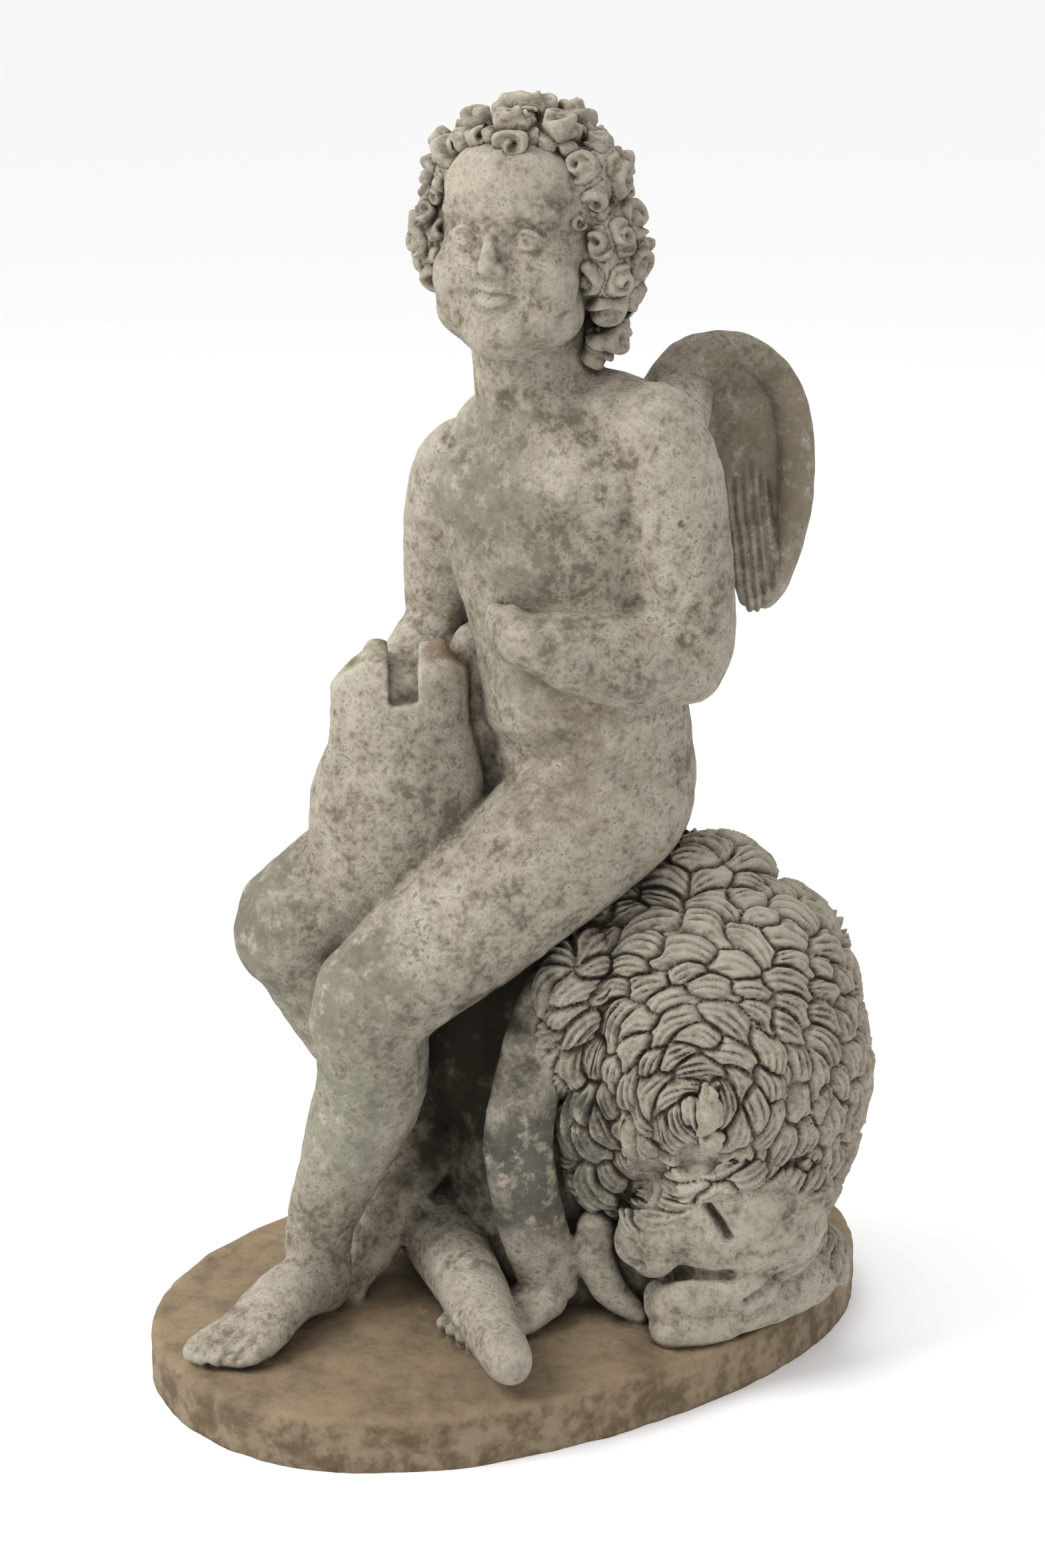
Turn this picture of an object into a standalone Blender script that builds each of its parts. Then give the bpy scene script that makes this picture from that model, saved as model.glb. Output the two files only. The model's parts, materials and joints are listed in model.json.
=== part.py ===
"""A winged putto seated on a lion skin, carved from one block of stone with its oval base.

Metres, +Z up. The origin is the centre of the base's underside, and the feet point along -Y.
The figure is drawn on its own grid, 860 units from the top of the base to the highest curl.
"""

import math

import bmesh
import bpy
from mathutils import Matrix, Vector
from mathutils.bvhtree import BVHTree

# Driving sizes, in metres
STATUE_HEIGHT = 0.900
BASE_LENGTH = 0.552
BASE_WIDTH = 0.368
BASE_THICKNESS = 0.040
BASE_EDGE_ROUND = 0.006
BASE_SQUARENESS = 2.25
SAWN_BELOW = 0.015

# The figure's own grid
FIGURE_UNITS = 860
UNIT = (STATUE_HEIGHT - BASE_THICKNESS) / FIGURE_UNITS

# How finely the stone is cut
BODY_GRAIN = 0.0055
CARVED_GRAIN = 0.0050
CUT_GRAIN = 0.0045
MOST_TRIANGLES = 9400

STONE_COLOUR = (0.47, 0.43, 0.36, 1.0)
STONE_ROUGHNESS = 0.92
GOLDEN_ANGLE = math.pi * (3 - math.sqrt(5))

CHEST_YAW = 21
HEAD_YAW = 33
HEAD_LIFT = 6
HEAD_CENTRE = (35, -9, 778)
HIP_YAW = 8
LYRE_SIDE = (0.52, 0.85, 0)
SHOULDER_ROLL = 15
FAR_WING_DROP = 58
FLIGHT_FEATHERS = 7
WING_RIM = (
    (10, 656, 20), (26, 680, 17), (46, 688, 13), (66, 685, 12), (84, 671, 12), (96, 650, 12.5), (101, 622, 13),
    (102, 592, 13), (99, 562, 12), (93, 536, 11), (84, 516, 10), (75, 507, 8),
)
MANE_RINGS = 10
LION_YAW = -34
TOES = ((10.5, 12), (8.5, 13), (8, 9), (7.5, 3), (7, -5))
TOE_GAP = 14
CROWN_CURLS = ((-14, 22, 74), (2, 26, 77), (16, 18, 74), (-2, 8, 80))
NAPE_CURLS = ((46, -26, -62), (-44, -30, -62), (20, -48, -66), (-16, -50, -66))
HAIR_CURLS = 105
CURL_LIFT = 2


def at(x, y, z):
    """The place of a point of the figure's grid, whose floor is the top of the base."""
    return Vector((x * UNIT, y * UNIT, BASE_THICKNESS + z * UNIT))


def facing(yaw):
    """The level direction that a part of the figure faces, turned from -Y towards +X."""
    angle = math.radians(yaw)
    return Vector((math.sin(angle), -math.cos(angle), 0))


def left_of(yaw):
    """The figure's own left hand side, for a part that faces that way."""
    angle = math.radians(yaw)
    return Vector((math.cos(angle), math.sin(angle), 0))


def smooth_row(rows, steps):
    """Rows of numbers joined by a smooth curve through each of them."""
    last = len(rows) - 1
    made = []
    for i in range(last):
        before, start, end, after = (rows[min(max(i + k, 0), last)] for k in (-1, 0, 1, 2))
        for step in range(steps):
            t = step / steps
            made.append([
                0.5 * (2 * b + (c - a) * t + (2 * a - 5 * b + 4 * c - d) * t**2 + (3 * b - a - 3 * c + d) * t**3)
                for a, b, c, d in zip(before, start, end, after)
            ])
    made.append(list(rows[last]))
    return made


def ring_of(clay, centre, side, depth, sides):
    """One ring of points round a centre, with two half axes."""
    turns = [2 * math.pi * k / sides for k in range(sides)]
    return [clay.verts.new(centre + side * math.cos(a) + depth * math.sin(a)) for a in turns]


def loft(clay, centres, halves, side, sides=14):
    """One closed solid through the centres, with a half width and half depth at each, and round ends."""
    rings = []
    last = len(centres) - 1
    frames = []
    for i, centre in enumerate(centres):
        along = (centres[min(i + 1, last)] - centres[max(i - 1, 0)]).normalized()
        across = (side - along * side.dot(along)).normalized()
        frames.append((along, across, along.cross(across)))
    caps = [math.radians(a) for a in (62, 32)]
    for sign, index, angles in ((-1, 0, caps), (0, None, None), (1, last, caps[::-1])):
        if sign == 0:
            for centre, (wide, deep), (_, across, down) in zip(centres, halves, frames):
                rings.append(ring_of(clay, centre, across * wide, down * deep, sides))
            continue
        along, across, down = frames[index]
        wide, deep = halves[index]
        reach = min(wide, deep) * sign
        for a in angles:
            centre = centres[index] + along * reach * math.sin(a)
            rings.append(ring_of(clay, centre, across * wide * math.cos(a), down * deep * math.cos(a), sides))
    for one, two in zip(rings, rings[1:]):
        for k in range(sides):
            n = (k + 1) % sides
            clay.faces.new((one[k], one[n], two[n], two[k]))
    for ring, sign, index in ((rings[0], -1, 0), (rings[-1], 1, last)):
        pole = clay.verts.new(centres[index] + frames[index][0] * min(halves[index]) * sign)
        for k in range(sides):
            n = (k + 1) % sides
            clay.faces.new((ring[n], ring[k], pole) if sign < 0 else (ring[k], ring[n], pole))


def limb(clay, stations, side=(1, 0, 0), steps=4, sides=14):
    """A limb through stations of x, y, z, half width and, where it isn't round, half depth."""
    rows = [list(s) + [s[3]] * (5 - len(s)) for s in stations]
    rows = smooth_row(rows, steps)
    centres = [at(*row[:3]) for row in rows]
    halves = [(row[3] * UNIT, row[4] * UNIT) for row in rows]
    loft(clay, centres, halves, Vector(side), sides)


def ball(clay, centre, halves, yaw=0.0, tilt=0.0, roll=0.0):
    """An egg of stone with half axes to its left, to its front and upwards."""
    size = Matrix.Diagonal([h * UNIT for h in halves]).to_4x4()
    turn = (
        Matrix.Rotation(math.radians(yaw), 4, "Z")
        @ Matrix.Rotation(math.radians(tilt), 4, "X")
        @ Matrix.Rotation(math.radians(roll), 4, "Y")
    )
    matrix = Matrix.Translation(at(*centre)) @ turn @ size
    bmesh.ops.create_uvsphere(clay, u_segments=20, v_segments=12, radius=1.0, matrix=matrix)


def head_point(left, front, up):
    """A grid point given from the centre of the head: to its left, to its front and up."""
    centre = Vector(HEAD_CENTRE)
    lift = math.radians(HEAD_LIFT)
    face, side = facing(HEAD_YAW), left_of(HEAD_YAW)
    forward = face * math.cos(lift) + Vector((0, 0, math.sin(lift)))
    upward = Vector((0, 0, math.cos(lift))) - face * math.sin(lift)
    return tuple(centre + side * left + forward * front + upward * up)


def torso(clay):
    """Pelvis, belly, chest and neck, with the breast and the shoulders laid on."""
    rows = [
        (24, 58, 352, 66, 50, 6, 0), (24, 52, 386, 84, 64, 8, 0), (32, 42, 424, 80, 66, 12, 0),
        (38, 34, 462, 77, 64, 15, 1), (39, 26, 506, 78, 62, 18, 4), (38, 18, 550, 84, 62, 20, 8),
        (37, 13, 594, 88, 61, CHEST_YAW, 12), (36, 13, 630, 78, 52, CHEST_YAW, SHOULDER_ROLL),
        (33, 12, 656, 50, 40, CHEST_YAW, SHOULDER_ROLL),
    ]
    trunk(clay, smooth_row(rows, 3))
    limb(clay, [(31, 13, 640, 48), (28, 4, 676, 43), (29, -3, 712, 41), (33, -6, 745, 41)])
    for sign in (-1, 1):
        breast = Vector((37, 12, 606 + 8 * sign)) + left_of(CHEST_YAW) * 38 * sign + facing(CHEST_YAW) * 34
        ball(clay, breast, (42, 22, 34), yaw=CHEST_YAW)
        slope = Vector((35, 15, 652 + 9 * sign)) + left_of(CHEST_YAW) * 42 * sign
        ball(clay, slope, (50, 32, 24), yaw=CHEST_YAW, roll=20 * sign - SHOULDER_ROLL)
        seat = Vector((20, 64, 372)) + left_of(HIP_YAW) * 34 * sign
        ball(clay, seat, (42, 44, 42), yaw=HIP_YAW)


def trunk(clay, rows):
    """The trunk, whose sections turn as the body twists and tip as the far shoulder drops."""
    rings = []
    sides = 24
    for x, y, z, wide, deep, yaw, roll in rows:
        tip = math.radians(roll)
        across = left_of(yaw) * math.cos(tip) + Vector((0, 0, math.sin(tip)))
        rings.append(ring_of(clay, at(x, y, z), across * wide * UNIT, facing(yaw) * deep * -UNIT, sides))
    for one, two in zip(rings, rings[1:]):
        for k in range(sides):
            n = (k + 1) % sides
            clay.faces.new((one[k], one[n], two[n], two[k]))
    clay.faces.new(rings[0][::-1])
    clay.faces.new(rings[-1])


def left_leg(clay):
    """The near leg: its thigh slopes down to the knee, and its foot is flat on the base."""
    limb(clay, [
        (56, 46, 380, 60), (48, 0, 345, 57), (30, -60, 298, 52), (12, -108, 256, 45), (5, -124, 232, 41),
    ])
    limb(clay, [
        (8, -122, 250, 41), (3, -118, 215, 40), (-4, -117, 172, 39), (-13, -128, 132, 34), (-22, -141, 88, 27),
        (-27, -148, 55, 24), (-26, -147, 28, 24),
    ])
    ball(clay, (8, -138, 252), (31, 23, 29))
    foot(clay, heel=(-25, -147, 18), ball_of_foot=(3, -222, 13), toes=(10, -248, 9), outer=-1, breadth=0.82)


def right_leg(clay):
    """The far leg: its knee stands higher, and its foot is drawn back on its toes."""
    limb(clay, [
        (-18, 50, 378, 62), (-38, -14, 342, 57), (-62, -78, 308, 52), (-78, -116, 286, 46), (-84, -130, 270, 43),
    ])
    limb(clay, [
        (-84, -126, 276, 43), (-77, -112, 240, 41), (-66, -88, 195, 40), (-55, -66, 152, 32), (-48, -52, 120, 27),
        (-44, -46, 98, 26),
    ])
    ball(clay, (-88, -142, 284), (32, 24, 32))
    foot(clay, heel=(-42, -40, 92), ball_of_foot=(-50, -92, 28), toes=(-52, -110, 11), outer=1)


def foot(clay, heel, ball_of_foot, toes, outer, breadth=1.0):
    """A bare foot from its heel to five toes side by side, the outer ones shorter."""
    heel, middle, tip = Vector(heel), Vector(ball_of_foot), Vector(toes)
    along = (tip - heel).normalized()
    across = along.cross(Vector((0, 0, 1))).normalized() * outer * breadth
    instep = heel.lerp(middle, 0.42) + Vector((0, 0, 13))
    rows = [(*heel, 25, 20), (*instep, 28, 23), (*middle, 35, 15), (*middle.lerp(tip, 0.6), 33, 11)]
    limb(clay, [(x, y, z, wide * breadth, deep) for x, y, z, wide, deep in rows], side=across)
    for k, (size, reach) in enumerate(TOES):
        spread = (k - 2) * TOE_GAP
        root = middle.lerp(tip, 0.4) + across * spread * 0.9
        end = tip + across * spread + along * reach
        limb(clay, [(*root, size), (*root.lerp(end, 0.6), size * 0.95), (*end, size * 0.85)], steps=2, sides=8)


def left_arm(clay):
    """The near arm hangs to the elbow, and the forearm crosses the belly with the hand flat on it."""
    limb(clay, [
        (108, 41, 646, 36), (118, 47, 620, 37), (123, 53, 580, 35), (125, 58, 540, 33), (125, 60, 508, 33),
        (125, 57, 492, 31),
    ])
    limb(clay, [
        (125, 58, 498, 32), (120, 28, 498, 34), (110, -10, 504, 31), (100, -36, 512, 26, 23), (94, -48, 515, 23, 19),
    ])
    hand(clay, wrist=(94, -48, 515), knuckles=(72, -58, 518), reach=(-30, 2, 2), back=(0.3, -0.95, 0), span=(0, 0, 10))


def right_arm(clay):
    """The far arm hangs behind the sounding box, with its hand in the notch of it."""
    limb(clay, [
        (-40, -10, 604, 33), (-48, -12, 590, 33), (-54, -16, 560, 31), (-58, -16, 525, 29), (-60, -14, 496, 29),
        (-60, -14, 480, 27),
    ])
    limb(clay, [
        (-60, -14, 484, 27), (-54, -34, 474, 26), (-47, -52, 468, 22), (-40, -66, 464, 18, 16),
    ])
    hand(clay, wrist=(-40, -64, 464), knuckles=(-34, -80, 460), reach=(8, -14, -14), back=(-0.3, -0.3, 0.9),
         span=(8, 3, 0))


def hand(clay, wrist, knuckles, reach, back, span):
    """A small hand: a palm, four fingers side by side and a thumb."""
    wrist, knuckles, reach, span = (Vector(v) for v in (wrist, knuckles, reach, span))
    side = span.normalized()
    limb(clay, [(*wrist, 17, 13), (*wrist.lerp(knuckles, 0.6), 20, 12), (*knuckles, 19, 10)], side=side)
    for k in range(4):
        root = knuckles + span * (k - 1.5)
        bend = root + reach * 0.55 + Vector(back) * 3
        tip = root + reach * (1.0 - 0.08 * abs(k - 1.6))
        limb(clay, [(*root, 7), (*bend, 6.5), (*tip, 5.5)], steps=2, sides=8)
    thumb = wrist.lerp(knuckles, 0.5) + span * 2.0
    limb(clay, [(*thumb, 8), (*(thumb + reach * 0.5 + span * 0.5), 6.5)], steps=2, sides=8)


def broken_lyre(clay):
    """The sounding box on the far thigh, as high as the stumps of its two arms."""
    limb(clay, [
        (-34, -74, 318, 62, 44), (-30, -75, 350, 63, 45), (-28, -74, 385, 62, 43), (-27, -73, 410, 54, 38),
        (-27, -74, 430, 49, 34), (-27, -74, 450, 48, 32), (-26, -74, 468, 47, 28), (-26, -74, 481, 45, 10),
    ], side=LYRE_SIDE)


def lyre_notch(clay):
    """What is cut away between the lyre's arms, and off the corner of the farther one."""
    limb(clay, [(-25, -72, 464, 11, 65), (-25, -72, 490, 14, 65), (-25, -72, 530, 16, 65)], side=LYRE_SIDE)
    limb(clay, [(-76, -150, 482, 30, 10), (-30, -80, 508, 30, 10)], side=(0.83, -0.56, 0))


def head_block(clay):
    """Skull, jaw and the main planes of a calm child's face."""
    yaw = HEAD_YAW
    ball(clay, head_point(0, -6, 14), (58, 66, 56), yaw=yaw, tilt=-HEAD_LIFT)
    ball(clay, head_point(0, 16, -16), (50, 46, 58), yaw=yaw, tilt=-HEAD_LIFT)
    ball(clay, head_point(0, 34, -56), (28, 24, 19), yaw=yaw)
    ball(clay, head_point(0, 46, -66), (13, 12, 10), yaw=yaw)
    for sign in (-1, 1):
        ball(clay, head_point(27 * sign, 36, -30), (24, 20, 25), yaw=yaw)
        ball(clay, head_point(24 * sign, 52, 11), (17, 7, 6), yaw=yaw)


def hair_mass(clay):
    """The bulk of the hair: a cap on the skull, and fuller bunches beside the cheeks."""
    ball(clay, head_point(0, -14, 16), (61, 62, 57), yaw=HEAD_YAW)
    ball(clay, head_point(-57, 0, 0), (22, 30, 38), yaw=HEAD_YAW)
    ball(clay, head_point(57, -8, -16), (20, 32, 44), yaw=HEAD_YAW)


def face_features(clay):
    """Nose, lids and lips, to a sculptor's usual rule for a child."""
    up = facing(HEAD_YAW)
    limb(clay, [(*head_point(0, 57, 6), 6), (*head_point(0, 64, -8), 6.5), (*head_point(0, 69, -20), 8)],
         side=left_of(HEAD_YAW), steps=2, sides=8)
    for sign in (-1, 1):
        ball(clay, head_point(7 * sign, 64, -23), (6, 6, 5), yaw=HEAD_YAW)
        ball(clay, head_point(23 * sign, 50, -2), (11, 7, 7), yaw=HEAD_YAW)
        limb(clay, [(*head_point(1 * sign, 61.5, -37), 4), (*head_point(9 * sign, 58, -38), 3)],
             side=up, steps=2, sides=8)
    ball(clay, head_point(0, 60, -43), (10, 5, 4.5), yaw=HEAD_YAW)
    ball(clay, head_point(0, 58, -62), (11, 7, 8), yaw=HEAD_YAW)


def curl(clay, centre, normal, radius, thick, start, turns, hand_sign):
    """One snail curl of hair on the surface, wound towards its middle."""
    across = normal.orthogonal().normalized()
    other = normal.cross(across)
    rows = []
    count = max(6, int(8 * turns))
    for k in range(count + 1):
        t = k / count
        angle = start + hand_sign * 2 * math.pi * turns * t
        reach = radius * (1 - 0.78 * t)
        spot = centre + (across * math.cos(angle) + other * math.sin(angle)) * reach
        rows.append((spot + normal * thick * 0.5 * t, thick * (1 - 0.35 * t)))
    loft(clay, [row[0] for row in rows], [(row[1], row[1]) for row in rows], normal, sides=7)


def golden_directions(count):
    """Directions spread evenly over a ball."""
    for k in range(count):
        z = 1 - 2 * (k + 0.5) / count
        flat = math.sqrt(1 - z * z)
        angle = k * GOLDEN_ANGLE
        yield k, Vector((flat * math.cos(angle), flat * math.sin(angle), z))


def hair(clay, skin):
    """Thick curls over the skull, fuller beside the cheeks and knotted on the crown."""
    centre = at(*HEAD_CENTRE)
    face, side = facing(HEAD_YAW), left_of(HEAD_YAW)
    for k, way in golden_directions(HAIR_CURLS):
        front, up, left = way.dot(face), way.z, way.dot(side)
        if up < -0.62 or (front > 0.30 and up < 0.60 and abs(left) < 0.80) or (front > 0.05 and up < -0.45):
            continue
        hit = skin.ray_cast(centre + way * 0.2, -way)[0]
        if hit is None:
            continue
        size = 14.5 + 2.5 * math.sin(k * 2.4)
        spot = hit + way * CURL_LIFT * UNIT
        curl(clay, spot, way, size * UNIT, 6.2 * UNIT, k * 1.9, 1.25, 1 if k % 2 else -1)
    for left, front, up in CROWN_CURLS:
        curl(clay, at(*head_point(left, front, up)), Vector((0, 0, 1)), 13 * UNIT, 7 * UNIT, left, 1.2, 1)
    for left, front, up in NAPE_CURLS:
        curl(clay, at(*head_point(left, front, up)), side * (1 if left > 0 else -1), 14 * UNIT, 7 * UNIT, up, 1.1, 1)


def wing(clay, sign):
    """A short folded wing: a thick rounded rim, and long flight feathers in its hollow."""
    side, back = left_of(CHEST_YAW) * sign, -facing(CHEST_YAW)
    root = Vector((37, 12, 0)) + back * 56 + side * 40
    drop = 0 if sign > 0 else FAR_WING_DROP
    out = (back * 0.70 + side * 0.72).normalized() if sign > 0 else (back * 0.35 + side * 0.95).normalized()
    flat = out.cross(Vector((0, 0, 1))) * sign

    def spot(reach, height, bow=0.0):
        return root + out * reach + flat * bow + Vector((0, 0, height - drop))

    limb(clay, [(*spot(reach, height, 1), size * 0.9, size) for reach, height, size in WING_RIM], side=flat)
    limb(clay, [(*spot(-12, 618), 22, 20), (*spot(8, 640), 22, 20), (*spot(28, 664), 20, 16)], side=out)
    limb(clay, [(*spot(50, 676, -3), 34, 10), (*spot(58, 640, -4), 42, 9), (*spot(62, 600, -5), 42, 8),
                (*spot(66, 560, -5), 36, 8), (*spot(72, 525, -4), 22, 7)], side=out)
    for k in range(FLIGHT_FEATHERS):
        t = k / (FLIGHT_FEATHERS - 1)
        reach = 30 + 58 * t
        low = 516 + 76 * (1 - t) ** 1.4 - 10 * math.sin(math.pi * t)
        middle = spot(reach + 5 * t, (640 + low) / 2, 3)
        limb(clay, [(*spot(reach + 3 * t, 640, 4), 6.5, 6), (*middle, 6.5, 6), (*spot(reach - 4 * t, low, 2), 5, 5)],
             side=out, steps=3, sides=8)


def near_wing(clay):
    """The wing towards the lion's head, with the muscle that carries it."""
    wing(clay, 1)
    limb(clay, [(64, 102, 662, 18), (84, 78, 652, 24), (98, 56, 642, 28)])


def far_wing(clay):
    """The wing behind the far shoulder, and the root that runs to the near one."""
    wing(clay, -1)
    limb(clay, [(52, 76, 622, 20), (-18, 52, 566, 20)])


def seat_rock(clay):
    """The rock that carries the figure, rough on its front and plain behind."""
    limb(clay, [
        (-8, 60, -10, 92, 104), (-8, 62, 60, 88, 101), (-6, 64, 150, 82, 98), (2, 66, 230, 74, 88),
        (14, 70, 300, 68, 72), (20, 72, 330, 58, 56),
    ], side=(1, 0, 0), sides=18)
    for k in range(14):
        turn, height = math.radians(95 + 21 * k), 40 + 57 * (k % 5) + 9 * math.sin(2.3 * k)
        reach = 1 - height / 1500
        spot = (-6 + 74 * reach * math.cos(turn), 64 + 86 * reach * math.sin(turn), height)
        ball(clay, spot, (30, 26, 40), yaw=math.degrees(turn) + 90, tilt=14 * math.sin(k), roll=20 * math.cos(3 * k))
    ball(clay, (-26, -6, 190), (46, 54, 86))
    ball(clay, (-10, -14, 438), (15, 15, 70))


def mane_mass(clay):
    """The bulk under the mane, from the seat down to the lion's cheek."""
    limb(clay, [
        (82, 99, -6, 58, 88), (84, 102, 60, 58, 92), (93, 105, 108, 66, 100), (101, 104, 148, 80, 105),
        (105, 103, 190, 85, 106), (103, 103, 238, 78, 98), (97, 104, 282, 62, 82), (92, 104, 308, 34, 46),
    ], side=(0.83, -0.56, 0), sides=20)
    ball(clay, (52, 60, 240), (46, 50, 84))
    ball(clay, (88, 26, 150), (28, 36, 74))
    ball(clay, (78, 8, 226), (26, 34, 62))


def pelt_leg(clay):
    """The skin of a fore leg, hanging down the front of the seat to a paw on the base."""
    limb(clay, [
        (66, -4, 250, 22, 13), (70, -22, 220, 23, 12), (69, -32, 180, 24, 12), (67, -38, 140, 25, 12),
        (68, -33, 96, 25, 13), (71, -22, 52, 24, 14), (73, -16, 22, 22, 14),
    ], side=(0.56, 0.83, 0))
    limb(clay, [(72, -20, 16, 22, 14), (74, -44, 12, 26, 13), (76, -66, 10, 26, 11)], side=(1, 0, 0))
    for k in range(4):
        x = 54 + 14 * k
        limb(clay, [(x, -66, 9, 8), (x - 2, -84, 8, 8), (x - 3, -94, 6, 6)], steps=2, sides=8)


def lion_head(clay):
    """The lion's mask resting on the rim of the base: skull, brow, muzzle, jaw and ear."""
    ball(clay, (140, 92, 88), (58, 66, 62), yaw=LION_YAW)
    ball(clay, (150, 100, 70), (44, 60, 44), yaw=LION_YAW)
    limb(clay, [(150, 84, 104, 46, 34), (143, 62, 93, 38, 29), (133, 44, 78, 31, 25), (126, 32, 67, 23, 20)],
         side=left_of(LION_YAW))
    limb(clay, [(151, 92, 138, 16), (144, 68, 131, 17), (134, 52, 117, 13)], side=left_of(LION_YAW))
    ball(clay, (126, 29, 72), (20, 12, 12), yaw=LION_YAW)
    limb(clay, [(158, 86, 40, 36, 34), (146, 58, 30, 34, 28), (138, 42, 22, 26, 20)], side=left_of(LION_YAW))
    limb(clay, [(140, 176, 20, 20, 20), (160, 146, 23, 24, 24), (164, 100, 20, 24, 21), (160, 58, 14, 24, 17),
                (150, 36, 8, 20, 14)], side=(1, 0, 0))
    curl(clay, at(136, 60, 166), left_of(LION_YAW), 17 * UNIT, 8.5 * UNIT, 0.4, 1.1, 1)
    ball(clay, (134, 62, 160), (12, 20, 20), yaw=LION_YAW)


def lion_fang(clay):
    """The curved piece of pelt before the lion's open mouth."""
    limb(clay, [(92, 12, 72, 12, 14), (92, 10, 48, 13, 14), (102, 18, 22, 14, 12), (118, 32, 6, 10, 8)],
         side=left_of(LION_YAW))


def slits(clay):
    """What is cut in deep: the lion's eye, and the fold beside the hanging fore leg."""
    limb(clay, [(157, 60, 102, 4, 18), (162, 66, 88, 5, 18), (166, 73, 75, 4, 18)], side=(0.56, 0.83, 0), sides=8)
    limb(clay, [(90, -14, 196, 4, 24), (88, -19, 165, 6, 26), (88, -17, 130, 6, 26), (90, -13, 108, 4, 20)],
         side=(0.56, 0.83, 0), sides=8)


def club(clay):
    """The knotty club that lies across the base, with its grip end towards the near edge."""
    limb(clay, [
        (-82, -26, 38, 36, 34), (-50, -36, 36, 34, 33), (-4, -52, 34, 29, 29), (60, -73, 31, 25, 25),
        (120, -94, 28, 20, 20), (156, -106, 26, 17, 17),
    ], side=(0, 0, 1))


def mane_locks(clay, skin, body):
    """Crescent locks in rings round the lion's ear, laid where nothing covers the mane."""
    middle, ear, cheek = at(100, 100, 165), at(134, 62, 160), at(150, 84, 88)
    axis = (ear - middle).normalized()
    one = axis.orthogonal().normalized()
    two = axis.cross(one)
    for ring in range(MANE_RINGS):
        polar = math.radians(24 + 13 * ring)
        count = max(6, round(2 * math.pi * math.sin(polar) * 105 / 56))
        for k in range(count):
            turn = 2 * math.pi * (k + 0.5 * (ring % 2) + 0.12 * math.sin(7 * k + ring)) / count
            way = axis * math.cos(polar) + (one * math.cos(turn) + two * math.sin(turn)) * math.sin(polar)
            out = middle + way * 0.3
            hit, normal, _, reach = skin.ray_cast(out, -way)
            covered, _, _, body_reach = body.ray_cast(out, -way)
            if hit is None or hit.z < BASE_THICKNESS + 28 * UNIT or (hit - cheek).length < 70 * UNIT:
                continue
            if covered is not None and body_reach < reach - 6 * UNIT:
                continue
            radial = hit - ear
            radial = (radial - normal * radial.dot(normal)).normalized()
            lock(clay, hit, normal, radial, 3 * ring + k)


def lock(clay, centre, normal, radial, k):
    """One tapering crescent of mane, bent towards the lion's ear."""
    run = normal.cross(radial)
    if run.z > 0:
        run = -run
    swing = 0.22 * math.sin(k * 1.7)
    run, radial = run * math.cos(swing) + radial * math.sin(swing), radial * math.cos(swing) - run * math.sin(swing)
    half = (33 + 5 * math.sin(k * 0.9)) * UNIT
    bow = half * 0.55
    centres, halves = [], []
    for step in range(7):
        t = step / 3 - 1
        lift = normal * (4.0 - 4.5 * t * t) * UNIT
        centres.append(centre + run * half * t - radial * bow * t * t + radial * bow * 0.4 + lift)
        body_wide = 10.5 * (1 - 0.55 * max(t, 0) ** 1.5 - 0.25 * max(-t, 0) ** 2) * UNIT
        halves.append((body_wide, body_wide * 0.75))
    loft(clay, centres, halves, radial, sides=8)


def base(clay):
    """The oval base, with a softly rounded rim."""
    rings = []
    sides = 56
    levels = (
        (-SAWN_BELOW, 0.0), (0.004, 0.0), (BASE_THICKNESS - BASE_EDGE_ROUND, 0.0),
        (BASE_THICKNESS - BASE_EDGE_ROUND * 0.3, BASE_EDGE_ROUND * 0.3), (BASE_THICKNESS, BASE_EDGE_ROUND),
    )
    for height, inset in levels:
        ring = []
        for k in range(sides):
            angle = 2 * math.pi * k / sides
            c, s = math.cos(angle), math.sin(angle)
            x = math.copysign(abs(c) ** (2 / BASE_SQUARENESS), c) * (BASE_WIDTH / 2 - inset)
            y = math.copysign(abs(s) ** (2 / BASE_SQUARENESS), s) * (BASE_LENGTH / 2 - inset)
            ring.append(clay.verts.new((x, y, height)))
        rings.append(ring)
    for one, two in zip(rings, rings[1:]):
        for k in range(sides):
            n = (k + 1) % sides
            clay.faces.new((one[k], one[n], two[n], two[k]))
    clay.faces.new(rings[0][::-1])
    clay.faces.new(rings[-1])


def made_of(name, *makers):
    """One object of overlapping closed shapes, from functions that each add theirs."""
    clay = bmesh.new()
    for maker in makers:
        maker(clay)
    bmesh.ops.recalc_face_normals(clay, faces=clay.faces[:])
    mesh = bpy.data.meshes.new(name)
    clay.to_mesh(mesh)
    clay.free()
    piece = bpy.data.objects.new(name, mesh)
    bpy.context.scene.collection.objects.link(piece)
    return piece


def bvh_of(piece):
    """The surface of a piece, to lay locks on."""
    clay = bmesh.new()
    clay.from_mesh(piece.data)
    tree = BVHTree.FromBMesh(clay)
    clay.free()
    return tree


def settle(piece):
    """Keeps a piece's shape as its modifiers leave it, and drops them."""
    graph = bpy.context.evaluated_depsgraph_get()
    mesh = bpy.data.meshes.new_from_object(piece.evaluated_get(graph))
    old = piece.data
    piece.modifiers.clear()
    piece.data = mesh
    bpy.data.meshes.remove(old)


def melt(piece, grain):
    """Makes one skin of all the shapes in a piece."""
    remesh = piece.modifiers.new("one skin", "REMESH")
    remesh.mode = "VOXEL"
    remesh.voxel_size = grain
    settle(piece)


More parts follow.
